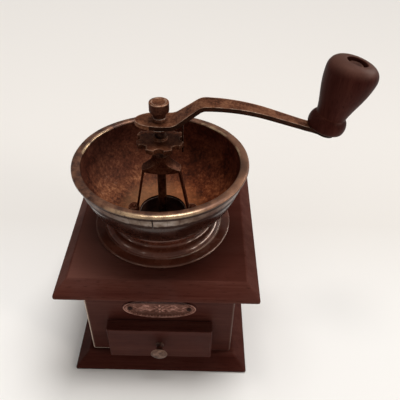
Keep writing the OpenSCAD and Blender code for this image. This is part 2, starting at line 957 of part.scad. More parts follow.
// One side of the crank's plan: rounded eye, drawn-in neck, tapered strip and round tip
function strip_side() =
    let (
        eye_half = eye_w / 2,
        neck_end = [crest_x + 2, crest_w / 2],
        tip_turn = 130,
        tip_start = [crank_reach + tip_r * cos(tip_turn), tip_r * sin(tip_turn)]
    )
    concat(
        [for (i = [0 : 12]) [-eye_reach * cos(i * 7.5), eye_half * sin(i * 7.5)]],
        curve([2, eye_half], [10, eye_half], neck_end - [10, 0], neck_end, 8),
        curve([crank_reach - 16, tip_w / 2], [crank_reach - 9, tip_w / 2],
            tip_start - [2, 0.8], tip_start, 4),
        arc(crank_reach, 0, tip_r, tip_turn - 12, 0, 10)
    );

module crank_arm() {
    line = strip_top();
    side = strip_side();
    other_side = [for (i = [len(side) - 2 : -1 : 1]) [side[i][0], -side[i][1]]];
    color(rust)
        difference() {
            intersection() {
                rotate([90, 0, 0])
                    linear_extrude(2 * eye_w, center = true)
                        polygon(concat(line, reversed(lower_side(line, strip_t))));
                translate([0, 0, eye_z - 4 * strip_t])
                    linear_extrude(neck_rise + 8 * strip_t)
                        polygon(concat(side, other_side));
            }
            square_hole(eye_z, strip_t);
            at_handle()
                translate([0, 0, -2 * strip_t])
                    cylinder(r = pin_r + seat_gap, h = 3 * strip_t);
        }
}

// Places its children on the handle's leaning axis, with z = 0 on the strip's upper side
module at_handle() {
    translate([crank_reach, 0, handle_z])
        rotate([0, handle_tilt, 0])
            children();
}

// Riveted pin on which the handle turns
module handle_pin() {
    head_z = grip_gap + handle_len - recess_h + grip_gap;
    head_h = 1.8;
    tail_r = pin_r + 1.4;
    tail_h = 1.4;
    color(steel)
        at_handle() {
            translate([0, 0, -strip_t - tail_h])
                cylinder(r = pin_r, h = strip_t + tail_h + head_z + head_h);
            translate([0, 0, -strip_t - tail_h - seat_gap])
                cylinder(r1 = tail_r - 0.6, r2 = tail_r, h = tail_h);
            translate([0, 0, head_z])
                cylinder(r1 = pin_head_r, r2 = pin_head_r - 0.6, h = head_h);
        }
}

// Turned handle: a bead at the foot, a waist and a pear-shaped grip with a recess for the pin's head
module handle_grip() {
    bead_half = 4.6;
    waist_z = 2 * bead_half;
    waist_r = handle_bead_d / 2 - 2.3;
    belly_z = handle_len * 0.78;
    belly_r = handle_d / 2;
    foot_end_r = handle_bead_d / 2 - 1.2;
    color(stain)
        at_handle()
            translate([0, 0, grip_gap])
                difference() {
                    rotate_extrude($fn = 96)
                        polygon(concat(
                            [[0, 0], [foot_end_r, 0]],
                            curve([foot_end_r, 0], [handle_bead_d / 2 + 0.9, 0.8],
                                [handle_bead_d / 2 + 0.9, waist_z - 1.6], [waist_r, waist_z], 12),
                            curve([waist_r, waist_z], [waist_r + 0.4, waist_z + 9],
                                [belly_r, belly_z - 14], [belly_r, belly_z], 14),
                            curve([belly_r, belly_z], [belly_r, belly_z + 6],
                                [recess_d / 2 + 5, handle_len], [recess_d / 2, handle_len], 10),
                            [[0, handle_len]]
                        ));
                    translate([0, 0, -past])
                        cylinder(r = pin_r + run_fit, h = handle_len + 2 * past);
                    translate([0, 0, handle_len - recess_h])
                        cylinder(d = recess_d - 0.6, h = recess_h + past);
                }
}

module cap_washer() {
    color(steel)
        difference() {
            translate([0, 0, cap_z])
                cylinder(r1 = cap_washer_r, r2 = cap_washer_r - 0.5, h = cap_washer_h);
            translate([0, 0, cap_z - past])
                cylinder(r = stud_r + run_fit, h = cap_washer_h + 2 * past);
        }
}

// Thumb nut: a flat-topped head on a tapered waist, with a blind hole for the stud
module thumb_nut() {
    neck_r = 3.8;
    taper_h = 2.4;
    head_h = 5;
    edge = 0.7;
    color(rust)
        translate([0, 0, nut_z])
            difference() {
                rotate_extrude()
                    polygon([
                        [0, 0], [neck_r, 0], [neck_r, nut_h - head_h - taper_h],
                        [nut_d / 2 - 0.3, nut_h - head_h], [nut_d / 2, nut_h - head_h + edge],
                        [nut_d / 2, nut_h - edge], [nut_d / 2 - edge, nut_h], [0, nut_h]
                    ]);
                translate([0, 0, -past])
                    cylinder(r = stud_r + run_fit, h = stud_top - nut_z + past + hole_gap);
            }
}

module drawer_front() {
    round_r = 0.8;
    color(stain)
        difference() {
            translate([-front_w / 2, drawer_y - front_t, front_z])
                cube([front_w, front_t, front_h]);
            for (side = [0, 1])
                mirror([side, 0, 0])
                    translate([front_w / 2, drawer_y - front_t, front_z - past])
                        rotate(45)
                            cube([2 * round_r, 2 * round_r, 2 * (front_h + 2 * past)], center = true);
            translate([0, drawer_y - front_t - past, knob_z])
                rotate([-90, 0, 0])
                    cylinder(r = knob_tail_r + seat_gap, h = knob_tail + past + hole_gap);
        }
}

module drawer_side(side) {
    color(bare_wood)
        translate([side * (drawer_w - drawer_wall) / 2, drawer_y + drawer_depth / 2, drawer_z + drawer_h / 2])
            cube([drawer_wall, drawer_depth, drawer_h], center = true);
}

module drawer_left() {
    drawer_side(-1);
}

module drawer_right() {
    drawer_side(1);
}

module drawer_back() {
    color(bare_wood)
        translate([drawer_wall - drawer_w / 2, drawer_y + drawer_depth - drawer_wall, drawer_z])
            cube([drawer_w - 2 * drawer_wall, drawer_wall, drawer_h]);
}

module drawer_floor() {
    color(bare_wood)
        translate([drawer_wall - drawer_w / 2, drawer_y, drawer_z])
            cube([drawer_w - 2 * drawer_wall, drawer_depth - drawer_wall, drawer_floor_t]);
}

// Brass button on a thin neck with a plain tail in the drawer's front
module drawer_knob() {
    neck_r = 2.1;
    rose_r = 3.6;
    rose_h = 1.2;
    button_t = 4;
    button_r = knob_d / 2;
    button_low = knob_reach - button_t;
    button_mid = knob_reach - button_t / 2;
    color(brass)
        translate([0, drawer_y - front_t - seat_gap, knob_z])
            rotate([90, 0, 0])
                rotate_extrude()
                    polygon(concat(
                        [[0, -knob_tail], [knob_tail_r, -knob_tail], [knob_tail_r, 0]],
                        [[rose_r, 0], [rose_r, rose_h]],
                        curve([neck_r, rose_h + 0.8], [neck_r, button_low - 1],
                            [button_r - 0.6, button_low], [button_r, button_mid], 8),
                        curve([button_r, button_mid], [button_r, knob_reach - 0.6],
                            [button_r * 0.6, knob_reach], [0, knob_reach], 8)
                    ));
}

base_board();
front_panel();
back_panel();
left_panel();
right_panel();
top_board();
base_screws();
left_runner();
right_runner();
badge_plate();
badge_nails();
hopper_foot();
hopper_bowl();
rim_hoop();
bridge();
bridge_rivets();
bearing_bush();
burr_ring();
burr_ring_screws();
lower_bridge();
lower_bridge_screws();
thrust_collar();
star_wheel();
spindle();
cone_burr();
burr_nut();
crank_washer();
lock_spring();
crank_arm();
handle_pin();
handle_grip();
cap_washer();
thumb_nut();
drawer_front();
drawer_left();
drawer_right();
drawer_back();
drawer_floor();
drawer_knob();
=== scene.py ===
import json
from math import asin, copysign, cos, pi, radians, sin, sqrt

import bmesh
import bpy
from mathutils import Matrix, Vector, noise


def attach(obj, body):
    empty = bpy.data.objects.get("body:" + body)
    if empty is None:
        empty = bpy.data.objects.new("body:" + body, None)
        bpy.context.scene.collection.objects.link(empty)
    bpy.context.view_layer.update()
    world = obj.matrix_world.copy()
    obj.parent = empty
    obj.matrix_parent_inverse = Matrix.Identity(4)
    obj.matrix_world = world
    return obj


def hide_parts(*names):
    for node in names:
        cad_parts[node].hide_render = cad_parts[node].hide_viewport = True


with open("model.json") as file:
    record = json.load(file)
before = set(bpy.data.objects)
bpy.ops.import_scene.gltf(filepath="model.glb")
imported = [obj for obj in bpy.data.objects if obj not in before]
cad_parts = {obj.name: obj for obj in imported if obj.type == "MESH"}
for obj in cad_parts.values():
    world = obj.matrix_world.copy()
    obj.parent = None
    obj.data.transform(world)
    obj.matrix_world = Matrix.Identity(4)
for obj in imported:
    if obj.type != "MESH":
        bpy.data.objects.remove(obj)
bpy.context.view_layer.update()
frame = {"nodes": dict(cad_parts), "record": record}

scene = bpy.context.scene
mm = 0.001
bodyOf = {node: body for body, nodes in frame["record"]["behaviour"]["bodies"].items() for node in nodes}
print("frame loaded:", len(frame["nodes"]), "CAD nodes")


# Small tools used by every piece

def linear(hexText):
    channels = [int(hexText[i:i + 2], 16) / 255 for i in (1, 3, 5)]
    return tuple(c / 12.92 if c <= 0.04045 else ((c + 0.055) / 1.055) ** 2.4 for c in channels) + (1.0,)


def perMetre(sizeMm):
    return 1000 / sizeMm  # texture scale whose features are about this size


# Fills a node's inputs, in order or by name, from a node, a socket, a "#" colour or a plain value
def feed(tree, node, inputs):
    for key, value in inputs.items() if isinstance(inputs, dict) else enumerate(inputs):
        if isinstance(value, bpy.types.Node):
            value = next(socket for socket in value.outputs if socket.enabled)
        if isinstance(value, bpy.types.NodeSocket):
            tree.links.new(value, node.inputs[key])
        elif isinstance(value, str) and value.startswith("#"):
            node.inputs[key].default_value = linear(value)
        else:
            node.inputs[key].default_value = value


# Adds one node; stops are a colour ramp's places and colours from low to high
def addNode(tree, kind, inputs=(), stops=(), **settings):
    node = tree.nodes.new(kind if "Node" in kind else "ShaderNode" + kind)
    for name, value in settings.items():
        setattr(node, name, value)
    feed(tree, node, inputs)
    if stops:
        ramp = node.color_ramp.elements
        ramp[0].position, ramp[1].position = stops[0][0], stops[-1][0]
        for place, colour in stops[1:-1]:
            ramp.new(place)
        for stop, (place, colour) in zip(ramp, stops):
            stop.color = linear(colour)
    return node


def newMaterial(name, **shader):
    material = bpy.data.materials.new(name)
    material.use_nodes = True
    tree = material.node_tree
    bsdf = tree.nodes["Principled BSDF"]
    feed(tree, bsdf, {key.replace("_", " "): value for key, value in shader.items()})
    coords = addNode(tree, "TexCoord").outputs["Object"]
    return material, tree, bsdf, coords


# Lays coats of colour over a ground, each with the share of it that shows
def coats(tree, ground, *layers):
    for share, colour in layers:
        ground = addNode(tree, "Mix", {0: share, 6: ground, 7: colour}, data_type="RGBA")
    return ground


# Worn edges: how far the rounded normal leans away from the true one, broken up by a noise
def edgeWear(tree, coords, radiusMm, patchMm, least, most, keen=0.95, upOnly=False):
    rounded = addNode(tree, "Bevel", {"Radius": radiusMm * mm}, samples=8)
    flat = addNode(tree, "NewGeometry").outputs["Normal"]
    lean = addNode(tree, "VectorMath", (rounded, flat), operation="DOT_PRODUCT")
    edge = addNode(tree, "MapRange", (lean, 0.998, keen, 0.0, 1.0))
    patch = addNode(tree, "TexNoise", {"Vector": coords, "Scale": perMetre(patchMm), "Detail": 5})
    broken = addNode(tree, "MapRange", (patch, 0.35, 0.62, least, most))
    worn = addNode(tree, "Math", (edge, broken), operation="MULTIPLY")
    if upOnly:
        rise = addNode(tree, "SeparateXYZ", (rounded,)).outputs["Z"]
        upper = addNode(tree, "MapRange", (rise, -0.05, 0.25, 0.0, 1.0))
        worn = addNode(tree, "Math", (worn, upper), operation="MULTIPLY")
    return worn


# Distance from the mill's upright axis
def fromAxis(tree, coords):
    level = addNode(tree, "VectorMath", (coords, (1, 1, 0)), operation="MULTIPLY")
    return addNode(tree, "VectorMath", (level,), operation="LENGTH")


# Scale of a pattern that runs along one axis
def drawnOut(along, share):
    return tuple(share if axis == along else 1.0 for axis in "xyz")


# Materials; places inside them are in metres from the mill's origin

# Stained beech under old wax: deep red-brown, faint straight grain, a soft warm sheen that stays dark,
# and paler wood showing where hands have rubbed the corners
def stainedBeech(name, along, stain, wornColour, wornLeast, wornMost, gloss=0.46, shine=0.13, paintedLevelLight=0.0,
                 cornerMm=None, paintedShoulderHighlight=0.0):
    material, tree, bsdf, coords = newMaterial(
        name, IOR=1.5, Specular_IOR_Level=shine, Specular_Tint="#E3A794")
    side, depth, rise = addNode(tree, "SeparateXYZ", (coords,)).outputs
    facing = addNode(tree, "NewGeometry").outputs["Normal"]
    upward = addNode(tree, "SeparateXYZ", (facing,)).outputs["Z"]
    grain = addNode(tree, "Mapping", {"Vector": coords, "Scale": drawnOut(along, 0.04)})
    dashes = addNode(tree, "Mapping", {"Vector": coords, "Scale": drawnOut(along, 0.12)})
    fibre = addNode(tree, "TexNoise", {"Vector": grain, "Scale": perMetre(1.1), "Detail": 6,
                                       "Roughness": 0.6})
    ring = addNode(tree, "TexNoise", {"Vector": grain, "Scale": perMetre(8), "Detail": 3,
                                      "Distortion": 0.6})
    cloud = addNode(tree, "TexNoise", {"Vector": coords, "Scale": perMetre(28), "Detail": 4})
    pore = addNode(tree, "TexNoise", {"Vector": dashes, "Scale": perMetre(0.7), "Detail": 2})
    figure = addNode(tree, "Mix", {0: 0.55, 2: fibre, 3: ring})
    tone = addNode(tree, "ValToRGB", (figure,), [(0.30, stain[0]), (0.50, stain[1]), (0.72, stain[2])])
    haze = addNode(tree, "MapRange", (cloud, 0.45, 0.75, 0.0, 0.5))
    poreMask = addNode(tree, "MapRange", (pore, 0.60, 0.72, 0.0, 0.5))
    # level faces get painted light: a painted sheen to the left, painted shade to the right
    level = addNode(tree, "MapRange", (upward, 0.93, 0.99, 0.1 * paintedLevelLight, paintedLevelLight))
    paintedSheenLeft = addNode(tree, "MapRange", (side, -0.006, -0.044, 0.0, level), interpolation_type="SMOOTHSTEP")
    paintedShadeRight = addNode(tree, "MapRange", (side, -0.03, 0.04, 0.0, level), interpolation_type="SMOOTHSTEP")
    # painted highlight: the top of the handle is paler on its upward faces
    raised = addNode(tree, "MapRange", (rise, 0.196, 0.214, 0.0, paintedShoulderHighlight), interpolation_type="SMOOTHSTEP")
    paintedHighlight = addNode(tree, "MapRange", (upward, 0.1, 1.0, 0.0, raised), interpolation_type="SMOOTHSTEP")
    worn = edgeWear(tree, coords, 1.7, 9, wornLeast, wornMost)
    if cornerMm:  # the upright corners are rubbed pale, the left one most
        across = addNode(tree, "Math", (side,), operation="ABSOLUTE")
        corner = addNode(tree, "MapRange", (across, (cornerMm - 0.5) * mm, (cornerMm + 0.2) * mm, 0.0, 1.0))
        ahead = addNode(tree, "MapRange", (depth, (0.6 - cornerMm) * mm, -cornerMm * mm, 0.0, 1.0))
        edges = addNode(tree, "Math", (worn, corner), operation="MAXIMUM")
        both = addNode(tree, "Math", (edges, ahead), operation="MULTIPLY")
        spared = addNode(tree, "MapRange", (side, -0.04, 0.04, wornMost, 0.08 * wornMost))
        worn = addNode(tree, "Math", (both, spared), operation="MULTIPLY")
    colour = coats(tree, tone, (haze, stain[3]), (poreMask, "#1C0906"), (paintedShadeRight, "#3A1A13"),
                   (paintedSheenLeft, "#684239"), (paintedHighlight, "#76574B"), (worn, wornColour))
    rough = addNode(tree, "MapRange", (cloud, 0.3, 0.7, gloss - 0.06, gloss + 0.1))
    height = addNode(tree, "Math", (poreMask, -0.6, fibre), operation="MULTIPLY_ADD")
    bump = addNode(tree, "Bump", {"Strength": 0.18, "Distance": 0.12 * mm, "Height": height})
    feed(tree, bsdf, {"Base Color": colour, "Roughness": rough, "Normal": bump})
    return material


# Bare beech inside the drawer: dull tan wood, grey with age and brown with coffee dust
def bareBeech(name, along):
    material, tree, bsdf, coords = newMaterial(name, IOR=1.5, Roughness=0.78)
    grain = addNode(tree, "Mapping", {"Vector": coords, "Scale": drawnOut(along, 0.05)})
    fibre = addNode(tree, "TexNoise", {"Vector": grain, "Scale": perMetre(1.4), "Detail": 6})
    dust = addNode(tree, "TexNoise", {"Vector": coords, "Scale": perMetre(14), "Detail": 6,
                                      "Roughness": 0.7})
    tone = addNode(tree, "ValToRGB", (fibre,), [(0.3, "#6E5135"), (0.7, "#A08058")])
    dusty = addNode(tree, "MapRange", (dust, 0.5, 0.75, 0.0, 0.7))
    colour = coats(tree, tone, (dusty, "#4A3322"))
    bump = addNode(tree, "Bump", {"Strength": 0.3, "Distance": 0.15 * mm, "Height": fibre})
    feed(tree, bsdf, {"Base Color": colour, "Normal": bump})
    return material


# Japanned cast iron: glossy black-brown baked lacquer with sharp highlights,
# rubbed through to bronze-coloured metal on the crests of its mouldings, a pale colour that is partly painted
# highlight
def japannedIron(name, dark, pale, crests):
    material, tree, bsdf, coords = newMaterial(
        name, IOR=1.52, Specular_IOR_Level=0.3, Specular_Tint="#F0C4AC", Coat_Weight=0.25, Coat_Roughness=0.1)
    cloud = addNode(tree, "TexNoise", {"Vector": coords, "Scale": perMetre(9), "Detail": 5})
    grit = addNode(tree, "TexNoise", {"Vector": coords, "Scale": perMetre(5), "Detail": 1})
    colour = addNode(tree, "ValToRGB", (cloud,), [(0.3, dark), (0.7, pale)])
    if crests:  # pale crests, partly rubbed metal and partly painted highlight, most on the right and round the flange; the left has lost its polish
        side = addNode(tree, "SeparateXYZ", (coords,)).outputs["X"]
        rightward = addNode(tree, "MapRange", (side, 0.002, 0.02, 0.1, 1.0))
        flange = addNode(tree, "MapRange", (fromAxis(tree, coords), 0.0435, 0.0445, 0.0, 0.9))
        reached = addNode(tree, "Math", (rightward, flange), operation="MAXIMUM")
        edge = edgeWear(tree, coords, 1.6, 12, 0.4, 1.0, 0.88)
        worn = addNode(tree, "Math", (edge, reached), operation="MULTIPLY")
        colour = coats(tree, colour, (worn, "#D6B8A2"))
        bared = addNode(tree, "Math", (worn, 0.4), operation="MULTIPLY")
        polish = addNode(tree, "MapRange", (side, -0.036, -0.018, 0.1, 0.5))
        feed(tree, bsdf, {"Specular IOR Level": polish, "Coat Weight": polish, "Metallic": bared})
    rough = addNode(tree, "MapRange", (cloud, 0.35, 0.7, 0.16, 0.34))
    bump = addNode(tree, "Bump", {"Strength": 0.04, "Distance": 0.1 * mm, "Height": grit})
    feed(tree, bsdf, {"Base Color": colour, "Roughness": rough, "Normal": bump})
    return material


# Old sheet iron rusted inside the hopper: mottled brown, paler in the throat with painted light, nearly black
# under the rim and up the back with painted shade, with a fine granular skin and a few paler scabs
def rustedSheet():
    material, tree, bsdf, coords = newMaterial(
        "rustedSheet", Metallic=0.1, Specular_IOR_Level=0.3, Specular_Tint="#F0B090")
    side, depth, height = addNode(tree, "SeparateXYZ", (coords,)).outputs
    blotch = addNode(tree, "TexNoise", {"Vector": coords, "Scale": perMetre(14), "Detail": 9,
                                        "Roughness": 0.7})
    grit = addNode(tree, "TexNoise", {"Vector": coords, "Scale": perMetre(2.1), "Detail": 4,
                                      "Roughness": 0.7})
    scab = addNode(tree, "TexNoise", {"Vector": coords, "Scale": perMetre(4.5), "Detail": 6,
                                      "Roughness": 0.7})
    mixed = addNode(tree, "Mix", {0: 0.42, 2: blotch, 3: grit})
    floorTone = addNode(tree, "ValToRGB", (mixed,),
                        [(0.40, "#2F120B"), (0.47, "#542D1C"), (0.54, "#74442B"), (0.61, "#A06C4A")])
    shadedWallTone = addNode(tree, "ValToRGB", (mixed,), [(0.40, "#260C08"), (0.5, "#472017"), (0.61, "#683B2C")])
    # painted shade: darker up the wall towards the rim and up the back
    ragged = addNode(tree, "Math", (blotch, 0.024, height), operation="MULTIPLY_ADD")
    wall = addNode(tree, "MapRange", (ragged, 0.121, 0.152, 0.0, 1.0), interpolation_type="SMOOTHSTEP")
    above = addNode(tree, "MapRange", (height, 0.1065, 0.118, 0.0, 0.75))
    behind = addNode(tree, "MapRange", (depth, -0.012, 0.03, 0.0, above), interpolation_type="SMOOTHSTEP")
    paintedBowlShade = addNode(tree, "Math", (wall, behind), operation="MAXIMUM")
    # painted light: paler down in the throat
    paintedThroatLight = addNode(tree, "MapRange", (height, 0.1095, 0.1045, 0.0, 0.4), interpolation_type="SMOOTHSTEP")
    scabMask = addNode(tree, "MapRange", (scab, 0.62, 0.72, 0.0, 0.4))
    rusty = coats(tree, floorTone, (paintedBowlShade, shadedWallTone), (paintedThroatLight, "#A5754F"), (scabMask, "#9C7560"))
    rightward = addNode(tree, "MapRange", (side, -0.015, 0.02, 0.0, 1.0))
    colour = addNode(tree, "Mix", {0: rightward, 6: rusty, 7: "#F4D6C4"}, data_type="RGBA",
                     blend_type="MULTIPLY")
    rough = addNode(tree, "MapRange", (blotch, 0.3, 0.7, 0.5, 0.75))
    bump = addNode(tree, "Bump", {"Strength": 0.5, "Distance": 0.25 * mm, "Height": mixed})
    feed(tree, bsdf, {"Base Color": colour, "Roughness": rough, "Normal": bump})
    return material


# Rolled rim rubbed by hands: pitted brown patina, paler to the right; dull gold streaks along the front edge,
# partly rubbed metal and partly painted highlight, painted glints inside the back, painted shade underneath
def rubbedRim():
    material, tree, bsdf, coords = newMaterial("rubbedRim", Metallic=0.45)
    side, depth, height = addNode(tree, "SeparateXYZ", (coords,)).outputs
    out = fromAxis(tree, coords)
    blotch = addNode(tree, "TexNoise", {"Vector": coords, "Scale": perMetre(7), "Detail": 7,
                                        "Roughness": 0.65})
    pits = addNode(tree, "TexNoise", {"Vector": coords, "Scale": perMetre(0.9), "Detail": 4})
    dash = addNode(tree, "TexNoise", {"Vector": coords, "Scale": perMetre(16), "Detail": 3})
    tone = addNode(tree, "ValToRGB", (blotch,),
                   [(0.32, "#2C130B"), (0.48, "#593624"), (0.62, "#79513A"), (0.76, "#A67E60")])
    pitMask = addNode(tree, "MapRange", (pits, 0.6, 0.7, 0.0, 0.8))
    right = addNode(tree, "MapRange", (side, 0.02, 0.05, 0.0, 0.45))
    edge = addNode(tree, "MapRange", (out, 0.0546, 0.0556, 0.0, 1.0))
    # the front edge's gold streak is partly rubbed metal and partly a painted highlight
    front = addNode(tree, "MapRange", (depth, -0.048, -0.055, 0.02, 0.95))
    streak = addNode(tree, "MapRange", (blotch, 0.36, 0.52, 0.15, 0.9))
    paintedHighlight = addNode(tree, "Math", (front, streak), operation="MULTIPLY")
    rubbed = addNode(tree, "Math", (edge, paintedHighlight), operation="MULTIPLY")
    # painted glints along the inner edge at the back
    inner = addNode(tree, "MapRange", (out, 0.0526, 0.0518, 0.0, 1.0))
    rear = addNode(tree, "MapRange", (depth, -0.01, 0.012, 0.0, inner))
    glint = addNode(tree, "MapRange", (dash, 0.48, 0.58, 0.0, rear))
    bright = addNode(tree, "Math", (rubbed, glint), operation="MAXIMUM")
    # painted shade on the underside of the roll
    under = addNode(tree, "MapRange", (height, 0.1477, 0.1470, 0.0, 0.9))
    colour = coats(tree, tone, (pitMask, "#22130E"), (right, "#94694E"), (bright, "#C9AA86"),
                   (under, "#26120B"))
    rough = addNode(tree, "MapRange", (bright, 0.0, 0.9, 0.42, 0.2))
    bump = addNode(tree, "Bump", {"Strength": 0.3, "Distance": 0.15 * mm, "Height": blotch})
    feed(tree, bsdf, {"Base Color": colour, "Roughness": rough, "Normal": bump})
    return material


# Bare tinned sheet of the hoop: dull grey in front and brown round the sides, crossed by short upright
# scratches, with dark rust creeping up from its lower edge and painted shade under the roll
def tinnedSheet():
    material, tree, bsdf, coords = newMaterial("tinnedSheet")
    side, depth, height = addNode(tree, "SeparateXYZ", (coords,)).outputs
    across = addNode(tree, "Math", (side,), operation="ABSOLUTE")
    turn = addNode(tree, "Math", (depth, side), operation="ARCTAN2")
    blotch = addNode(tree, "TexNoise", {"Vector": coords, "Scale": perMetre(8), "Detail": 6,
                                        "Roughness": 0.6})
    fray = addNode(tree, "TexNoise", {"Vector": coords, "Scale": perMetre(3), "Detail": 4})
    scratch = addNode(tree, "TexVoronoi", {"W": turn, "Scale": 7.0, "Randomness": 1.0},  # about 8 mm apart
                      voronoi_dimensions="1D", feature="DISTANCE_TO_EDGE")
    tone = addNode(tree, "ValToRGB", (blotch,), [(0.32, "#543A2E"), (0.48, "#8A7769"), (0.68, "#B8AAA0")])
    sideward = addNode(tree, "MapRange", (across, 0.012, 0.032, 0.0, 0.65))
    scratched = addNode(tree, "MapRange", (scratch, 0.0, 0.03, 0.75, 0.0))
    sunk = addNode(tree, "Math", (across, -0.03, height), operation="MULTIPLY_ADD")
    shore = addNode(tree, "Math", (fray, 0.003, sunk), operation="MULTIPLY_ADD")
    creep = addNode(tree, "MapRange", (shore, 0.1399, 0.1405, 0.95, 0.0))
    # painted shade under the rim's roll
    paintedOverhangShade = addNode(tree, "MapRange", (height, 0.1437, 0.1445, 0.0, 0.95))
    rustAndShade = addNode(tree, "Math", (creep, paintedOverhangShade), operation="MAXIMUM")
    colour = coats(tree, tone, (sideward, "#573121"), (scratched, "#2B1B15"), (rustAndShade, "#2C150E"))
    metal = addNode(tree, "MapRange", (rustAndShade, 0.0, 1.0, 0.6, 0.1))
    sheen = addNode(tree, "MapRange", (rustAndShade, 0.0, 1.0, 0.5, 0.1))
    rough = addNode(tree, "MapRange", (blotch, 0.35, 0.65, 0.6, 0.33))
    bump = addNode(tree, "Bump", {"Strength": 0.3, "Distance": 0.15 * mm, "Height": blotch})
    feed(tree, bsdf, {"Base Color": colour, "Metallic": metal, "Specular IOR Level": sheen,
                      "Roughness": rough, "Normal": bump})
    return material


# Forged iron with a brown rust skin: warm mid-brown, pitted, a pale gleam on its upper edges that is partly
# wear from handling and partly painted glints
def rustedIron(name, low, mid, high, gleam, edgeMm=0.6, edgeColour="#BC957A"):
    material, tree, bsdf, coords = newMaterial(
        name, Metallic=0.3, Specular_IOR_Level=0.15, Specular_Tint="#F0B79A")
    blotch = addNode(tree, "TexNoise", {"Vector": coords, "Scale": perMetre(9), "Detail": 8,
                                        "Roughness": 0.66})
    grit = addNode(tree, "TexNoise", {"Vector": coords, "Scale": perMetre(1.2), "Detail": 5,
                                      "Roughness": 0.7})
    pit = addNode(tree, "TexVoronoi", {"Vector": coords, "Scale": perMetre(4.5), "Randomness": 1.0})
    mixed = addNode(tree, "Mix", {0: 0.48, 2: blotch, 3: grit})
    tone = addNode(tree, "ValToRGB", (mixed,), [(0.40, low), (0.50, mid), (0.61, high)])
    pitMask = addNode(tree, "MapRange", (pit, 0.13, 0.07, 0.0, 0.85))
    # pale upper edges: partly wear, partly painted glints
    worn = edgeWear(tree, coords, edgeMm, 5, 0.05, gleam, upOnly=True)
    colour = coats(tree, tone, (pitMask, "#1D100B"), (worn, edgeColour))
    rough = addNode(tree, "MapRange", (blotch, 0.3, 0.7, 0.56, 0.38))
    height = addNode(tree, "Math", (pitMask, -1.0, mixed), operation="MULTIPLY_ADD")
    bump = addNode(tree, "Bump", {"Strength": 0.4, "Distance": 0.18 * mm, "Height": height})
    feed(tree, bsdf, {"Base Color": colour, "Roughness": rough, "Normal": bump})
    return material


# Turned steel gone dull: grey with brown stains and fine rings from the lathe
def dullSteel():
    material, tree, bsdf, coords = newMaterial("dullSteel", Metallic=0.9)
    ringed = addNode(tree, "Mapping", {"Vector": coords, "Scale": (0.08, 0.08, 1.0)})
    rings = addNode(tree, "TexNoise", {"Vector": ringed, "Scale": perMetre(0.5), "Detail": 3})
    stain = addNode(tree, "TexNoise", {"Vector": coords, "Scale": perMetre(5), "Detail": 7})
    tone = addNode(tree, "ValToRGB", (stain,), [(0.36, "#2E1812"), (0.5, "#4E362A"), (0.66, "#7C685A")])
    rough = addNode(tree, "MapRange", (rings, 0.3, 0.7, 0.28, 0.5))
    bump = addNode(tree, "Bump", {"Strength": 0.15, "Distance": 0.08 * mm, "Height": rings})
    feed(tree, bsdf, {"Base Color": tone, "Roughness": rough, "Normal": bump})
    return material


# Grey cast iron of the burrs: sand-cast grain, dark with coffee oil, bright only on the cutting edges
def oiledCastIron():
    material, tree, bsdf, coords = newMaterial("oiledCastIron", Metallic=0.3)
    sand = addNode(tree, "TexNoise", {"Vector": coords, "Scale": perMetre(0.9), "Detail": 5})
    oil = addNode(tree, "TexNoise", {"Vector": coords, "Scale": perMetre(8), "Detail": 5})
    tone = addNode(tree, "ValToRGB", (oil,), [(0.35, "#38201A"), (0.68, "#674636")])
    colour = coats(tree, tone, (edgeWear(tree, coords, 0.4, 4, 0.1, 0.6), "#8A7E74"))
    rough = addNode(tree, "MapRange", (oil, 0.3, 0.7, 0.38, 0.62))
    bump = addNode(tree, "Bump", {"Strength": 0.4, "Distance": 0.15 * mm, "Height": sand})
    feed(tree, bsdf, {"Base Color": colour, "Roughness": rough, "Normal": bump})
    return material


# Tarnished brass: coppery brown, stained, paler on rubbed edges. On the pressed plate the hollows are
# browner, between the depths hollowY and crestY, and a painted shadow of the top board darkens it close under
# the board
def tarnishedBrass(name, low, mid, high, hollowY=None, crestY=None, metal=0.75, shine=0.5):
    material, tree, bsdf, coords = newMaterial(name, Metallic=metal, Specular_IOR_Level=shine)
    stain = addNode(tree, "TexNoise", {"Vector": coords, "Scale": perMetre(3), "Detail": 7,
                                       "Roughness": 0.65})
    tone = addNode(tree, "ValToRGB", (stain,), [(0.35, low), (0.5, mid), (0.7, high)])
    if hollowY is None:
        colour = coats(tree, tone, (edgeWear(tree, coords, 0.5, 2, 0.3, 0.6), "#A98C78"))
    else:
        place = addNode(tree, "SeparateXYZ", (coords,)).outputs
        hollow = addNode(tree, "MapRange", (place["Y"], hollowY, crestY, 0.75, 0.0))
        # painted shadow of the top board's overhang
        paintedOverhangShade = addNode(tree, "MapRange", (place["Z"], 0.0646, 0.0662, 0.0, 0.9))
        colour = coats(tree, tone, (hollow, "#5A3428"), (paintedOverhangShade, "#2E1611"))
    rough = addNode(tree, "MapRange", (stain, 0.3, 0.7, 0.5, 0.32))
    bump = addNode(tree, "Bump", {"Strength": 0.2, "Distance": 0.08 * mm, "Height": stain})
    feed(tree, bsdf, {"Base Color": colour, "Roughness": rough, "Normal": bump})
    return material


# Matt paper sweep under the mill: warm off-white, whiter towards the front
def paperSweep():
    material, tree, bsdf, coords = newMaterial("paperSweep", Roughness=0.9, Specular_IOR_Level=0.1)
    back = addNode(tree, "SeparateXYZ", (coords,)).outputs["Y"]
    depth = addNode(tree, "MapRange", (back, -0.05, 0.3, 0.0, 1.0), interpolation_type="SMOOTHSTEP")
    tone = addNode(tree, "ValToRGB", (depth,), [(0.0, "#F4F1ED"), (0.4, "#EAE5DF"), (1.0, "#F0EBE5")])
    feed(tree, bsdf, {"Base Color": tone})
    return material


topStain = ("#3E1B15", "#4F2A22", "#5D3830", "#583832")  # dark grain, ground, pale grain, dulled wax
deepStain = ("#32130E", "#431F19", "#522D25", "#4B2B25")
handleStain = ("#280E0A", "#381813", "#47241D", "#3F221D")
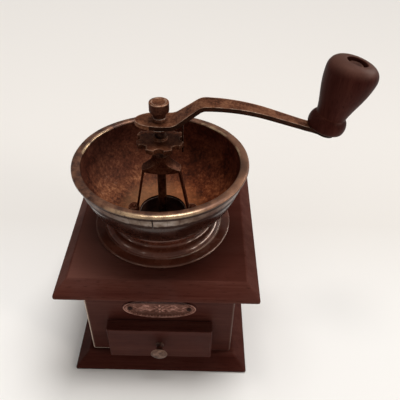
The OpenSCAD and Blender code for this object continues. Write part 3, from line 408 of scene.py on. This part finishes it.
# the top board's level faces carry painted light: a sheen to the left, shade to the right
topBeech = stainedBeech("stainedBeechTop", "x", topStain, "#6B4438", 0.1, 0.45, shine=0.015, paintedLevelLight=0.68)
baseBeech = stainedBeech("stainedBeechBase", "x", deepStain, "#5A3429", 0.1, 0.6, shine=0.05)
sideBeech = stainedBeech("stainedBeechDeep", "y", deepStain, "#6B4033", 0.1, 0.7)
frontBeech = stainedBeech("stainedBeechFront", "x", deepStain, "#D8C2AE", 0.5, 0.9, cornerMm=50.2)
drawerBeech = stainedBeech("stainedBeechDrawer", "x", deepStain, "#5C3A32", 0.1, 0.7, 0.5)
# the turned handle carries a painted highlight on its shoulder
handleBeech = stainedBeech("stainedBeechTurned", "z", handleStain, "#5A3024", 0.1, 0.5, 0.42, shine=0.04,
                           paintedShoulderHighlight=0.35)
bareAcross = bareBeech("bareBeechAcross", "x")
bareDeep = bareBeech("bareBeechDeep", "y")
footJapan = japannedIron("japannedIron", "#471F13", "#643425", True)
underJapan = japannedIron("japannedSheet", "#1E0C08", "#311811", False)
bowlRust = rustedSheet()
rimMetal = rubbedRim()
hoopTin = tinnedSheet()
# the pale edge colours here are partly painted glints, strongest on the crank and the washers
crankIron = rustedIron("rustedCrankIron", "#31180D", "#623A27", "#885C42", 0.95, 0.9, "#DDBBA2")
bridgeIron = rustedIron("rustedBridgeIron", "#29110A", "#482316", "#6B4331", 0.6)
starIron = rustedIron("rustedStarIron", "#260F08", "#4C2819", "#6C432F", 0.75, 0.7, "#D2AE94")
washerIron = rustedIron("rubbedWasherIronPaintedGlints", "#3A1E13", "#5E3A2A", "#8A6450", 0.95, 0.5, "#FFF0E2")
# a darker copy of the rusted iron that paints shade on the nut's sides and the handle pin
shadedNutIron = rustedIron("rustedNutIronPaintedShade", "#1E0D08", "#381C12", "#523023", 0.4)
# a darker copy of the rusted iron that paints shade on the crank's upright sides and the lock spring
shadedIron = rustedIron("rustedIronPaintedShade", "#140805", "#221009", "#361A10", 0.15)
steel = dullSteel()
burrIron = oiledCastIron()
plainBrass = tarnishedBrass("tarnishedBrass", "#38221A", "#64483B", "#907262")
# a darker brass that paints shade on the knob's neck and rose
shadedNeckBrass = tarnishedBrass("brassPaintedShade", "#2C130C", "#3E1F16", "#5E3A2B", metal=0.2, shine=0.15)
blackBrass = tarnishedBrass("blackenedBrass", "#1A0A06", "#2A130C", "#40231A")
badgeBrass = tarnishedBrass("tarnishedPressedBrass", "#704A3E", "#9C6E60", "#C09484", -0.05178, -0.05215)
print("materials made:", len(bpy.data.materials))


# Mesh tools; angles in degrees, lengths in mm

meshing = dict(sharpAngle=38, merge=0.004, flatAngle=0.6, edgeSteps=3, uprightZ=0.3)


def plainMesh(carrier):
    bpy.context.view_layer.update()
    return bpy.data.meshes.new_from_object(carrier.evaluated_get(bpy.context.evaluated_depsgraph_get()))


def finishPiece(name, mesh, materials, nodes):
    piece = bpy.data.objects.new(name, mesh)
    scene.collection.objects.link(piece)
    for material in materials:
        mesh.materials.append(material)
    mesh.shade_smooth()
    mesh.set_sharp_from_angle(angle=radians(meshing["sharpAngle"]))
    weigh = piece.modifiers.new("flatFaces", "WEIGHTED_NORMAL")  # keeps broad faces flat
    weigh.keep_sharp = True
    piece.data = plainMesh(piece)
    piece.data.name = name
    piece.modifiers.remove(weigh)
    if nodes:
        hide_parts(*nodes)
        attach(piece, bodyOf[nodes[0]])
    return piece


# Merged copy of a CAD node with rounded edges; only edges longer and keener than the least are touched.
# Upright faces to the right of the given x take the second material, a darker one that paints shade on the
# sides
def softCopy(node, material, edge=0.0, minLength=0.0, minAngle=32, shadeMaterial=None, shadeFrom=0.0):
    bm = bmesh.new()
    bm.from_mesh(frame["nodes"][node].data)
    bmesh.ops.remove_doubles(bm, verts=bm.verts, dist=meshing["merge"] * mm)
    bmesh.ops.dissolve_limit(bm, angle_limit=radians(meshing["flatAngle"]), verts=bm.verts, edges=bm.edges)
    if edge:
        crisp = [e for e in bm.edges if len(e.link_faces) == 2 and e.calc_length() > minLength * mm
                 and e.calc_face_angle(0) > radians(minAngle)]
        bmesh.ops.bevel(bm, geom=crisp, offset=edge * mm, segments=meshing["edgeSteps"], profile=0.5,
                        affect="EDGES", clamp_overlap=True, harden_normals=False)
    mesh = bpy.data.meshes.new(node + "Soft")
    bm.to_mesh(mesh)
    bm.free()
    for face in mesh.polygons:
        upright = abs(face.normal.z) < meshing["uprightZ"] and face.center.x > shadeFrom * mm
        face.material_index = 1 if shadeMaterial and upright else 0
    materials = [material, shadeMaterial] if shadeMaterial else [material]
    return finishPiece(node + "Soft", mesh, materials, [node])


# Points of a circular arc and of a cubic curve
def arc(centreR, centreZ, radius, start, end, steps):
    turns = [radians(start + (end - start) * i / steps) for i in range(steps + 1)]
    return [(centreR + radius * cos(t), centreZ + radius * sin(t)) for t in turns]


def cubic(p, q, r, s, steps):
    out = []
    for i in range(steps + 1):
        t = i / steps
        u = 1 - t
        weights = (u ** 3, 3 * u * u * t, 3 * u * t * t, t ** 3)
        out.append(tuple(sum(w * c for w, c in zip(weights, corner)) for corner in zip(p, q, r, s)))
    return out


def meshFrom(bm, name, place=None):
    bmesh.ops.recalc_face_normals(bm, faces=bm.faces)
    if place:
        bmesh.ops.transform(bm, matrix=place, verts=bm.verts)
    mesh = bpy.data.meshes.new(name)
    bm.to_mesh(mesh)
    bm.free()
    return mesh


# Turns a closed outline of (radius, height) about Z; a radius of 0 closes on the axis.
# bands gives the material of each outline segment, sweep an open part of a turn with capped ends
def lathe(name, outline, segments, place=None, bands=None, sweep=None, jitter=None):
    bm = bmesh.new()
    clean = [p for i, p in enumerate(outline)
             if i == 0 or (Vector(p) - Vector(outline[i - 1])).length > 1e-5]
    start, end = sweep or (0, 360)
    columns = segments + 1 if sweep else segments
    rings = []
    for radius, height in clean:
        if radius == 0:
            rings.append([bm.verts.new((0, 0, height * mm))] * columns)
            continue
        ring = []
        for i in range(columns):
            turn = radians(start + (end - start) * i / segments)
            r, z = jitter(radius, height, turn) if jitter else (radius, height)
            ring.append(bm.verts.new((r * mm * cos(turn), r * mm * sin(turn), z * mm)))
        rings.append(ring)
    count = len(rings)
    for k in range(count):
        low, high = rings[k], rings[(k + 1) % count]
        if low[0] is low[-1] and high[0] is high[-1]:
            continue
        for i in range(segments):
            j = (i + 1) % columns
            corners = list(dict.fromkeys([low[i], low[j], high[j], high[i]]))
            if len(corners) > 2:
                face = bm.faces.new(corners)
                face.material_index = bands[k] if bands else 0
    if sweep:
        bm.faces.new([ring[0] for ring in rings])
        bm.faces.new([ring[-1] for ring in reversed(rings)])
    return meshFrom(bm, name, place)


# Wooden case; edges shorter than the least keep their corner

boards = dict(edge=1.2, leastEdge=2, topAngle=12, panelEdge=0.5, drawerEdge=0.6, leastPanel=12,
              insideEdge=0.4, leastInside=3)
softCopy("base_board", baseBeech, boards["edge"], boards["leastEdge"])
softCopy("top_board", topBeech, boards["edge"], boards["leastEdge"], boards["topAngle"])
for node, wood in (("front_panel", frontBeech), ("back_panel", baseBeech), ("left_panel", sideBeech),
                   ("right_panel", sideBeech)):
    softCopy(node, wood, boards["panelEdge"], boards["leastPanel"])
softCopy("drawer_front", drawerBeech, boards["drawerEdge"], boards["leastPanel"])
for node in ("drawer_left", "drawer_right", "left_runner", "right_runner", "drawer_back", "drawer_floor"):
    wood = bareAcross if node in ("drawer_back", "drawer_floor") else bareDeep
    softCopy(node, wood, boards["insideEdge"], boards["leastInside"])
print("case and drawer done")


# Hopper: foot, bowl and hoop are turned about the mill's axis

bowl = dict(throatR=16.2, curveR=36.5, centreR=14.6, centreZ=141.465, wall=1.3, rimW=5.8, rimH=3.2,
            rimZ=147.165, flatness=2.4, dent=0.2, dentFrom=138, dentRise=8, waves=(1.6, 5), around=180)
foot = dict(boreR=31, lowZ=95.7, flangeR=47.3, flangeT=1.9, ovoloSeat=36.2, ovoloR=4.2, coveR=1.8,
            neckR=34.2, beadZ=108.8, beadR=2.5, beadEnd=38, seat=(34.8, 33.4, 32.2), gap=0.02,
            around=160)


# Height of the bowl's underside at a radius
def bowlUnder(radius, gap):
    reach = bowl["curveR"] + bowl["wall"] + gap
    return bowl["centreZ"] - sqrt(reach ** 2 - (radius - bowl["centreR"]) ** 2)


def footOutline(p):
    half = p["flangeT"] / 2
    ovoloZ = p["lowZ"] + p["flangeT"]
    coveZ = ovoloZ + p["ovoloR"] + p["coveR"]
    points = [(p["boreR"], p["lowZ"])]
    points += arc(p["flangeR"] - half, p["lowZ"] + half, half, -90, 90, 8)
    points += [(p["ovoloSeat"] + p["ovoloR"] + 0.25, ovoloZ)]
    points += arc(p["ovoloSeat"], ovoloZ, p["ovoloR"], 4, 90, 14)
    points += arc(p["neckR"] + p["coveR"], coveZ, p["coveR"], -90, -180, 8)
    points += arc(p["neckR"], p["beadZ"], p["beadR"], -84, p["beadEnd"], 16)
    points += [(radius, bowlUnder(radius, p["gap"])) for radius in p["seat"] + (p["boreR"],)]
    return points


finishPiece("hopperFootTurned", lathe("hopperFootTurned", footOutline(foot), foot["around"]), [footJapan],
            ["hopper_foot"])


# The roll has been knocked about a little, in long waves and shorter, shallower ones
def rimDent(radius, height, turn):
    share = max(0.0, min(1.0, (height - bowl["dentFrom"]) / bowl["dentRise"]))
    broad, tight = bowl["waves"]
    wave = noise.noise(Vector((broad * cos(turn), broad * sin(turn), 3.1)))
    wave += 0.5 * noise.noise(Vector((tight * cos(turn), tight * sin(turn), 7.7)))
    push = bowl["dent"] * share * wave
    return radius + push, height + push * 0.6


def bowlOutline(p):
    outer = p["curveR"] + p["wall"]
    offset = p["throatR"] - p["centreR"]
    insideStart = asin(offset / p["curveR"]) * 180 / pi - 90
    outsideStart = asin(offset / outer) * 180 / pi - 90
    rimR = p["centreR"] + p["curveR"] + p["rimW"] / 2
    inside = arc(p["centreR"], p["centreZ"], p["curveR"], insideStart, 0, 30)
    roll = []
    for across, up in arc(0, 0, 1, 180, -124, 30):  # flattened roll
        across = copysign(abs(across) ** (2 / p["flatness"]), across)
        up = copysign(abs(up) ** (2 / p["flatness"]), up)
        roll.append((rimR + p["rimW"] / 2 * across, p["rimZ"] + p["rimH"] / 2 * up))
    outside = arc(p["centreR"], p["centreZ"], outer, 0, outsideStart, 30)
    bands = [0] * len(inside) + [1] * (len(roll) - 1) + [2] * (len(outside) + 1)
    return inside + roll + outside, bands


outline, bands = bowlOutline(bowl)
bowlMesh = lathe("hopperBowlTurned", outline, bowl["around"], bands=bands, jitter=rimDent)
finishPiece("hopperBowlTurned", bowlMesh, [bowlRust, rimMetal, underJapan], ["hopper_bowl"])

hoop = dict(lowR=52.02, highR=55.0, lowZ=135.95, highZ=145.54, sheet=1.0, flare=1.15, seam=-91, gap=0.44,
            ragged=0.7, raggedTall=2.5, nibbles=16, around=240)


# The hoop's lower edge is nibbled by rust
def hoopNibble(radius, height, turn):
    share = max(0.0, 1 - (height - hoop["lowZ"]) / hoop["raggedTall"])
    bite = max(0.0, noise.noise(Vector((hoop["nibbles"] * cos(turn), hoop["nibbles"] * sin(turn), 1.9))))
    return radius, height + hoop["ragged"] * share * bite


def hoopOutline(p):
    lowR, lowZ, highR, highZ, sheet = p["lowR"], p["lowZ"], p["highR"], p["highZ"], p["sheet"]
    flare = [(lowR + (highR - lowR) * s ** p["flare"], lowZ + (highZ - lowZ) * s)
             for s in (0.2, 0.4, 0.6, 0.8, 0.94)]
    outer = [(lowR + sheet - 0.25, lowZ), (lowR + sheet, lowZ + 0.3)]
    outer += [(r + sheet, z) for r, z in flare] + [(highR + sheet - 0.2, highZ)]
    return outer + [(highR, highZ - 0.1)] + flare[::-1] + [(lowR, lowZ + 0.2)]


hoopSweep = (hoop["seam"] + hoop["gap"], hoop["seam"] + 360 - hoop["gap"])
hoopMesh = lathe("rimHoopBent", hoopOutline(hoop), hoop["around"], sweep=hoopSweep, jitter=hoopNibble)
finishPiece("rimHoopBent", hoopMesh, [hoopTin], ["rim_hoop"])
print("hopper done")


# Workings over and under the hopper

workings = dict(bridgeEdge=0.35, wheelEdge=0.45, collarEdge=0.2, crankEdge=0.5, springEdge=0.15,
                steelEdge=0.15, pinEdge=0.2, crankShadeFrom=-6)
softCopy("bridge", bridgeIron, workings["bridgeEdge"], minAngle=40)
softCopy("bearing_bush", plainBrass, workings["collarEdge"], minAngle=50)
softCopy("thrust_collar", bridgeIron, workings["collarEdge"], minAngle=50)
softCopy("star_wheel", starIron, workings["wheelEdge"], minAngle=50)
softCopy("spindle", steel, workings["steelEdge"], minAngle=60)
softCopy("crank_washer", washerIron, workings["collarEdge"], minAngle=60)
softCopy("lock_spring", shadedIron, workings["springEdge"], minAngle=60)
# the crank's upright sides take the darker iron: painted shade
softCopy("crank_arm", crankIron, workings["crankEdge"], minAngle=55, shadeMaterial=shadedIron,
         shadeFrom=workings["crankShadeFrom"])
softCopy("cap_washer", washerIron, workings["collarEdge"], minAngle=50)
softCopy("handle_pin", shadedNutIron, workings["pinEdge"], minAngle=50)
for node in ("burr_ring", "cone_burr", "lower_bridge"):
    softCopy(node, burrIron)
for node in ("burr_nut", "base_screws", "burr_ring_screws", "lower_bridge_screws"):
    softCopy(node, steel, workings["steelEdge"], minAngle=50)

nut = dict(lowZ=179.2, tall=10, neckR=3.8, taper=2.4, headR=6.1, headTall=6.4, dish=0.45, boreR=2.0,
           boreTop=7.7, around=72)


def nutOutline(p):
    low, top, neck, head = p["lowZ"], p["lowZ"] + p["tall"], p["neckR"], p["headR"]
    shoulder, boreZ = top - p["headTall"], low + p["boreTop"]
    return [(p["boreR"], low), (neck - 0.25, low), (neck, low + 0.3), (neck, shoulder - p["taper"]),
            (head - 0.5, shoulder - 0.2), (head - 0.1, shoulder + 0.3), (head, shoulder + 0.8),
            (head, top - 0.8), (head - 0.2, top - 0.3), (head - 0.7, top - 0.02), (head - 1.4, top),
            (head - 1.9, top - 0.4), (0, top - p["dish"]), (0, boreZ), (p["boreR"], boreZ - 0.3)]


nutShadeBands = [1] * 7 + [0] * 5 + [1] * 3  # the head's top keeps the crank iron; its sides take painted shade
finishPiece("thumbNutTurned", lathe("thumbNutTurned", nutOutline(nut), nut["around"], bands=nutShadeBands),
            [crankIron, shadedNutIron], ["thumb_nut"])

handle = dict(reach=100, footZ=174.027, tilt=14, gap=0.3, length=43.5, belly=15.2, bellyAt=0.83,
              shoulder=12.4, bead=11.38, beadTall=9.2, beadFoot=10.2, waist=9.1, boreR=2.55, lipR=6.8,
              recessR=6.2, recessDeep=3.5, around=96)


def handleOutline(p):
    bead, waist, waistZ, length = p["bead"], p["waist"], p["beadTall"], p["length"]
    belly, bellyZ = p["belly"], p["length"] * p["bellyAt"]
    swell = bead + 0.9
    points = [(p["boreR"], 0), (p["beadFoot"], 0)]
    points += cubic((p["beadFoot"], 0), (swell, 0.8), (swell, waistZ - 1.6), (waist, waistZ), 18)
    points += cubic((waist, waistZ + 0.2), (waist + 1.0, waistZ + 8), (belly - 0.6, bellyZ - 11),
                    (belly, bellyZ), 26)
    points += cubic((belly, bellyZ), (belly, bellyZ + 4.6), (p["shoulder"], length),
                    (p["lipR"], length), 18)
    points += [(p["lipR"] - 0.4, length - 0.15), (p["recessR"], length - 0.6),
               (p["recessR"], length - p["recessDeep"]), (p["boreR"], length - p["recessDeep"])]
    return points


handlePlace = (Matrix.Translation((handle["reach"] * mm, 0, handle["footZ"] * mm))
               @ Matrix.Rotation(radians(handle["tilt"]), 4, "Y")
               @ Matrix.Translation((0, 0, handle["gap"] * mm)))
handleMesh = lathe("handleGripTurned", handleOutline(handle), handle["around"], handlePlace)
finishPiece("handleGripTurned", handleMesh, [handleBeech], ["handle_grip"])

knob = dict(faceY=-60.72, z=31.5, tail=5.58, tailR=1.6, roseR=2.8, neckR=1.9, buttonR=5.7, buttonT=1.7,
            reach=8.5, around=72)


def knobOutline(p):
    low, mid, reach = p["reach"] - p["buttonT"], p["reach"] - p["buttonT"] / 2, p["reach"]
    button, neck, rose = p["buttonR"], p["neckR"], p["roseR"]
    points = [(0, -p["tail"]), (p["tailR"], -p["tail"]), (p["tailR"], 0), (rose, 0), (rose, 0.8),
              (rose - 0.4, 1.2)]
    points += cubic((neck, 2.0), (neck, low - 1), (button - 0.6, low), (button, mid), 12)
    points += cubic((button, mid), (button, reach - 0.6), (button * 0.6, reach), (0, reach), 12)[1:]
    return points


knobPlace = (Matrix.Translation((0, knob["faceY"] * mm, knob["z"] * mm))
             @ Matrix.Rotation(radians(90), 4, "X"))
knobShadeBands = [1] * 18 + [0] * 13  # the button's face keeps the plain brass; the neck and rose take painted shade
knobMesh = lathe("drawerKnobTurned", knobOutline(knob), knob["around"], knobPlace, knobShadeBands)
finishPiece("drawerKnobTurned", knobMesh, [plainBrass, shadedNeckBrass], ["drawer_knob"])
print("crank, handle, nut and knob done")


# Geometry Nodes: a tree with named inputs, made once and set by socket identifier

def newTree(name, sizes):
    tree = bpy.data.node_groups.new(name, "GeometryNodeTree")
    tree.interface.new_socket("Geometry", in_out="INPUT", socket_type="NodeSocketGeometry")
    tree.interface.new_socket("Geometry", in_out="OUTPUT", socket_type="NodeSocketGeometry")
    for label, kind in sizes.items():
        tree.interface.new_socket(label, in_out="INPUT", socket_type="NodeSocket" + kind)
    return tree, addNode(tree, "NodeGroupInput").outputs, addNode(tree, "NodeGroupOutput")


# Ends a tree: puts a shape on each given point, makes the copies real and gives them their finish
def strew(tree, given, made, shape, turn, **more):
    spots = addNode(tree, "GeometryNodeMeshToPoints", {"Mesh": given["Geometry"]})
    turned = addNode(tree, "FunctionNodeEulerToRotation", (turn,))
    copies = addNode(tree, "GeometryNodeInstanceOnPoints",
                     {"Points": spots, "Instance": shape, "Rotation": turned, **more})
    real = addNode(tree, "GeometryNodeRealizeInstances", (copies,))
    painted = addNode(tree, "GeometryNodeSetMaterial", {0: real, "Material": given["Finish"]})
    feed(tree, made, (painted,))
    return tree


def bakeTree(name, tree, values, points, fields=None):
    seed = bpy.data.meshes.new(name + "Seed")
    seed.from_pydata([tuple(c * mm for c in p) for p in points], [], [])
    for label, vectors in (fields or {}).items():
        layer = seed.attributes.new(label, "FLOAT_VECTOR", "POINT")
        for item, vector in zip(layer.data, vectors):
            item.vector = vector
    carrier = bpy.data.objects.new(name + "Carrier", seed)
    scene.collection.objects.link(carrier)
    modifier = carrier.modifiers.new("shape", "NODES")
    modifier.node_group = tree
    for item in tree.interface.items_tree:
        if item.in_out == "INPUT" and item.name in values:
            modifier[item.identifier] = values[item.name]
    mesh = plainMesh(carrier)
    mesh.name = name
    carrier.modifiers.remove(modifier)
    bpy.data.objects.remove(carrier)
    return mesh


# Domed nails and rivets: a low dome on a plain shank at each point, turned the same way
def domedHeads():
    tree, given, made = newTree("domedHeads", {"HeadRadius": "Float", "HeadHeight": "Float",
                                               "ShankRadius": "Float", "ShankLength": "Float",
                                               "Turn": "Vector", "Finish": "Material"})
    ball = addNode(tree, "GeometryNodeMeshUVSphere", {"Segments": 24, "Rings": 12, "Radius": 1.0})
    place = addNode(tree, "GeometryNodeInputPosition")
    x, y, z = addNode(tree, "SeparateXYZ", (place,)).outputs
    under = addNode(tree, "FunctionNodeCompare", (z, -0.12), operation="LESS_THAN")
    level = addNode(tree, "CombineXYZ", (x, y))
    dome = addNode(tree, "GeometryNodeSetPosition",
                   {"Geometry": ball, "Selection": under, "Position": level})
    scale = addNode(tree, "CombineXYZ", (given["HeadRadius"], given["HeadRadius"], given["HeadHeight"]))
    head = addNode(tree, "GeometryNodeTransform", {"Geometry": dome, "Scale": scale})
    rod = addNode(tree, "GeometryNodeMeshCylinder",
                  {"Vertices": 20, "Radius": given["ShankRadius"], "Depth": given["ShankLength"]})
    half = addNode(tree, "Math", (given["ShankLength"], -0.5), operation="MULTIPLY")
    drop = addNode(tree, "CombineXYZ", {"Z": half})
    shank = addNode(tree, "GeometryNodeTransform", {"Geometry": rod, "Translation": drop})
    both = addNode(tree, "GeometryNodeJoinGeometry", (shank,))
    feed(tree, both, (head,))
    return strew(tree, given, made, both, given["Turn"])


heads = domedHeads()
nails = dict(places=[(-20, -51.74, 60.3), (20, -51.74, 60.3)], turn=(pi / 2, 0, 0), headR=1.7, headH=1.0,
             shankR=0.9, shank=6.3)
rivets = dict(places=[(-20.2, 0, 107.82), (20.2, 0, 107.82)], turn=(0, 0, 0), headR=1.8, headH=1.3,
              shankR=1.1, shank=4.09)
for name, p, finish, node, slot in (
        ("badgeNailsDomed", nails, blackBrass, "badge_nails", "brass"),
        ("bridgeRivetsDomed", rivets, bridgeIron, "bridge_rivets", "rusted_iron")):
    sizes = {"HeadRadius": p["headR"] * mm, "HeadHeight": p["headH"] * mm, "ShankRadius": p["shankR"] * mm,
             "ShankLength": p["shank"] * mm, "Turn": p["turn"], "Finish": finish}
    finishPiece(name, bakeTree(name, heads, sizes, p["places"]), [], [node])


# Badge: pressed oval plate with a raised lip; beads, a rosette and two leaf sprays stand on its field.
# Shapes of the relief are half width, half length and height
badge = dict(width=50, height=20, z=60.3, backY=-51.12, field=0.6, lip=1.0, around=96, beads=64, beadIn=2.3,
             bead=(0.52, 0.52, 0.52), petals=8, petal=(1.0, 1.9, 0.5), petalR=3.1, eye=(1.3, 1.3, 0.6),
             leaves=10, leaf=(1.2, 2.5, 0.45), leafOff=1.7, vein=(0.3, 0.9, 0.3),
             sprayFrom=6.2, sprayLong=11.2, sprayWave=1.5)


def badgePlate(p):
    bm = bmesh.new()
    lip, field, around = p["lip"], p["field"], p["around"]
    steps = [(0.0, 0.0), (0.0, lip - 0.3), (0.12, lip - 0.08), (0.4, lip), (0.8, lip), (1.1, lip - 0.12),
             (1.3, field + 0.06), (1.6, field)]
    turns = [2 * pi * i / around for i in range(around)]
    rings = []
    for inset, depth in steps:
        rx, rz = p["width"] / 2 - inset, p["height"] / 2 - inset
        y = (p["backY"] - depth) * mm
        rings.append([bm.verts.new((rx * mm * cos(a), y, (p["z"] + rz * sin(a)) * mm)) for a in turns])
    for low, high in zip(rings, rings[1:]):
        for i in range(around):
            j = (i + 1) % around
            bm.faces.new((low[i], low[j], high[j], high[i]))
    bm.faces.new(rings[-1])
    bm.faces.new(list(reversed(rings[0])))
    return meshFrom(bm, "badgePlatePressed")


finishPiece("badgePlatePressed", badgePlate(badge), [badgeBrass], ["badge_plate"])


# One tree strews a small squashed bead over points; each point carries its turn and its size
def strewnRelief():
    tree, given, made = newTree("strewnRelief", {"Finish": "Material"})
    ball = addNode(tree, "GeometryNodeMeshIcoSphere", {"Radius": 1.0, "Subdivisions": 2})
    turn = addNode(tree, "GeometryNodeInputNamedAttribute", {"Name": "turn"}, data_type="FLOAT_VECTOR")
    size = addNode(tree, "GeometryNodeInputNamedAttribute", {"Name": "size"}, data_type="FLOAT_VECTOR")
    return strew(tree, given, made, ball, turn, Scale=size)


def badgeRelief(p):
    places, turns, sizes = [], [], []

    def put(x, z, depth, angle, size):
        places.append((x, p["backY"] - depth, p["z"] + z))
        turns.append((0, angle, 0))
        sizes.append((size[0] * mm, size[2] * mm, size[1] * mm))

    for i in range(p["beads"]):
        a = 2 * pi * i / p["beads"]
        x, z = (p["width"] / 2 - p["beadIn"]) * cos(a), (p["height"] / 2 - p["beadIn"]) * sin(a)
        put(x, z, p["field"], 0, p["bead"])
    for i in range(p["petals"]):
        a = 2 * pi * i / p["petals"]
        put(p["petalR"] * sin(a), p["petalR"] * cos(a), p["field"], a, p["petal"])
    put(0, 0, p["field"] + 0.1, 0, p["eye"])
    for side in (-1, 1):
        for i in range(p["leaves"]):
            t = i / (p["leaves"] - 1)
            x, z = p["sprayFrom"] + p["sprayLong"] * t, p["sprayWave"] * sin(2.2 * pi * t)
            fall = 1 - 0.35 * t  # leaves grow smaller outwards
            for up in (-1, 1):
                put(side * x, z + up * p["leafOff"] * fall, p["field"], side * (pi / 2 - up * 0.75),
                    tuple(c * fall for c in p["leaf"]))
            put(side * (x + 0.3), z, p["field"], side * pi / 2, p["vein"])
    fields = {"turn": turns, "size": sizes}
    return bakeTree("badgeRelief", strewnRelief(), {"Finish": badgeBrass}, places, fields)


relief = finishPiece("badgeRelief", badgeRelief(badge), [], [])
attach(relief, "mill")
print("badge and fasteners done")


# Stage, light and camera; places and sizes in metres

stage = dict(floor=6.0, world="#FFFFFF", worldLevel=0.25)
floorMesh = bpy.data.meshes.new("paperFloor")
half = stage["floor"] / 2
corners = [(-half, -half, 0), (half, -half, 0), (half, half, 0), (-half, half, 0)]
floorMesh.from_pydata(corners, [], [(0, 1, 2, 3)])
floorMesh.materials.append(paperSweep())
floor = bpy.data.objects.new("paperFloor", floorMesh)
scene.collection.objects.link(floor)

world = bpy.data.worlds.new("studioDome")
world.use_nodes = True
scene.world = world
feed(world.node_tree, world.node_tree.nodes["Background"],
     {"Color": stage["world"], "Strength": stage["worldLevel"]})

# A broad even key from the right and behind throws the soft shadow to the front left
key = dict(place=(0.215, 0.18, 1.05), strength=2.05, spread=27, colour="#FFFFFF", aim=(0, 0, 0.11))
# name, place, width, depth, watts, colour; each lamp looks at the key's aim, in the hopper
softboxes = [
    ("topSoftbox", (-0.1, 0.0, 1.15), 0.2, 0.2, 1.5, "#FFFCF8"),
    ("rightSoftbox", (0.85, -0.5, 0.6), 0.15, 0.4, 1.7, "#FFF5EA"),
    ("leftSoftbox", (-0.5, -0.75, 0.7), 0.06, 0.25, 0.3, "#FFF5EA"),
]
# strips that only show as glints on lacquer and metal
glintStrips = [
    ("rightStrip", (0.8, 0.2, 0.6), 1.0, 0.2, 7.0, "#FFF8F0"),
    ("leftStrip", (-0.78, -0.27, 0.67), 0.14, 0.14, 0.5, "#FFF8F0"),
]


def hang(name, kind, place, watts, colour):
    lamp = bpy.data.lights.new(name, kind)
    lamp.energy = watts
    lamp.color = linear(colour)[:3]
    stand = bpy.data.objects.new(name, lamp)
    stand.location = place
    stand.rotation_euler = (Vector(key["aim"]) - Vector(place)).to_track_quat("-Z", "Y").to_euler()
    scene.collection.objects.link(stand)
    return stand


hang("keySun", "SUN", key["place"], key["strength"], key["colour"]).data.angle = radians(key["spread"])
for name, place, wide, deep, watts, colour in softboxes + glintStrips:
    stand = hang(name, "AREA", place, watts, colour)
    stand.data.shape = "RECTANGLE"
    stand.data.size, stand.data.size_y = wide, deep
    stand.visible_diffuse = not name.endswith("Strip")

# place in mm, angles in radians, focal length and frame in the photo's pixels
view = dict(place=(24.214, -246.047, 321.389), yaw=0.0065, pitch=0.6997, roll=0.0281, focal=465.778,
            frame=400, sensor=36)
lens = bpy.data.cameras.new("photoCamera")
lens.sensor_width = view["sensor"]
lens.lens = view["focal"] / view["frame"] * view["sensor"]
camera = bpy.data.objects.new("photoCamera", lens)
yaw, pitch, roll = view["yaw"], view["pitch"], view["roll"]
ahead = Vector((sin(yaw) * cos(pitch), cos(yaw) * cos(pitch), -sin(pitch)))
level = Vector((cos(yaw), -sin(yaw), 0))
above = level.cross(ahead)
right = level * cos(roll) + above * sin(roll)
upward = above * cos(roll) - level * sin(roll)
turned = Matrix((right, upward, -ahead)).transposed().to_4x4()
camera.matrix_world = Matrix.Translation(Vector(view["place"]) * mm) @ turned
scene.collection.objects.link(camera)
scene.camera = camera
scene.view_settings.view_transform = "Standard"
print("stage, light and camera done")
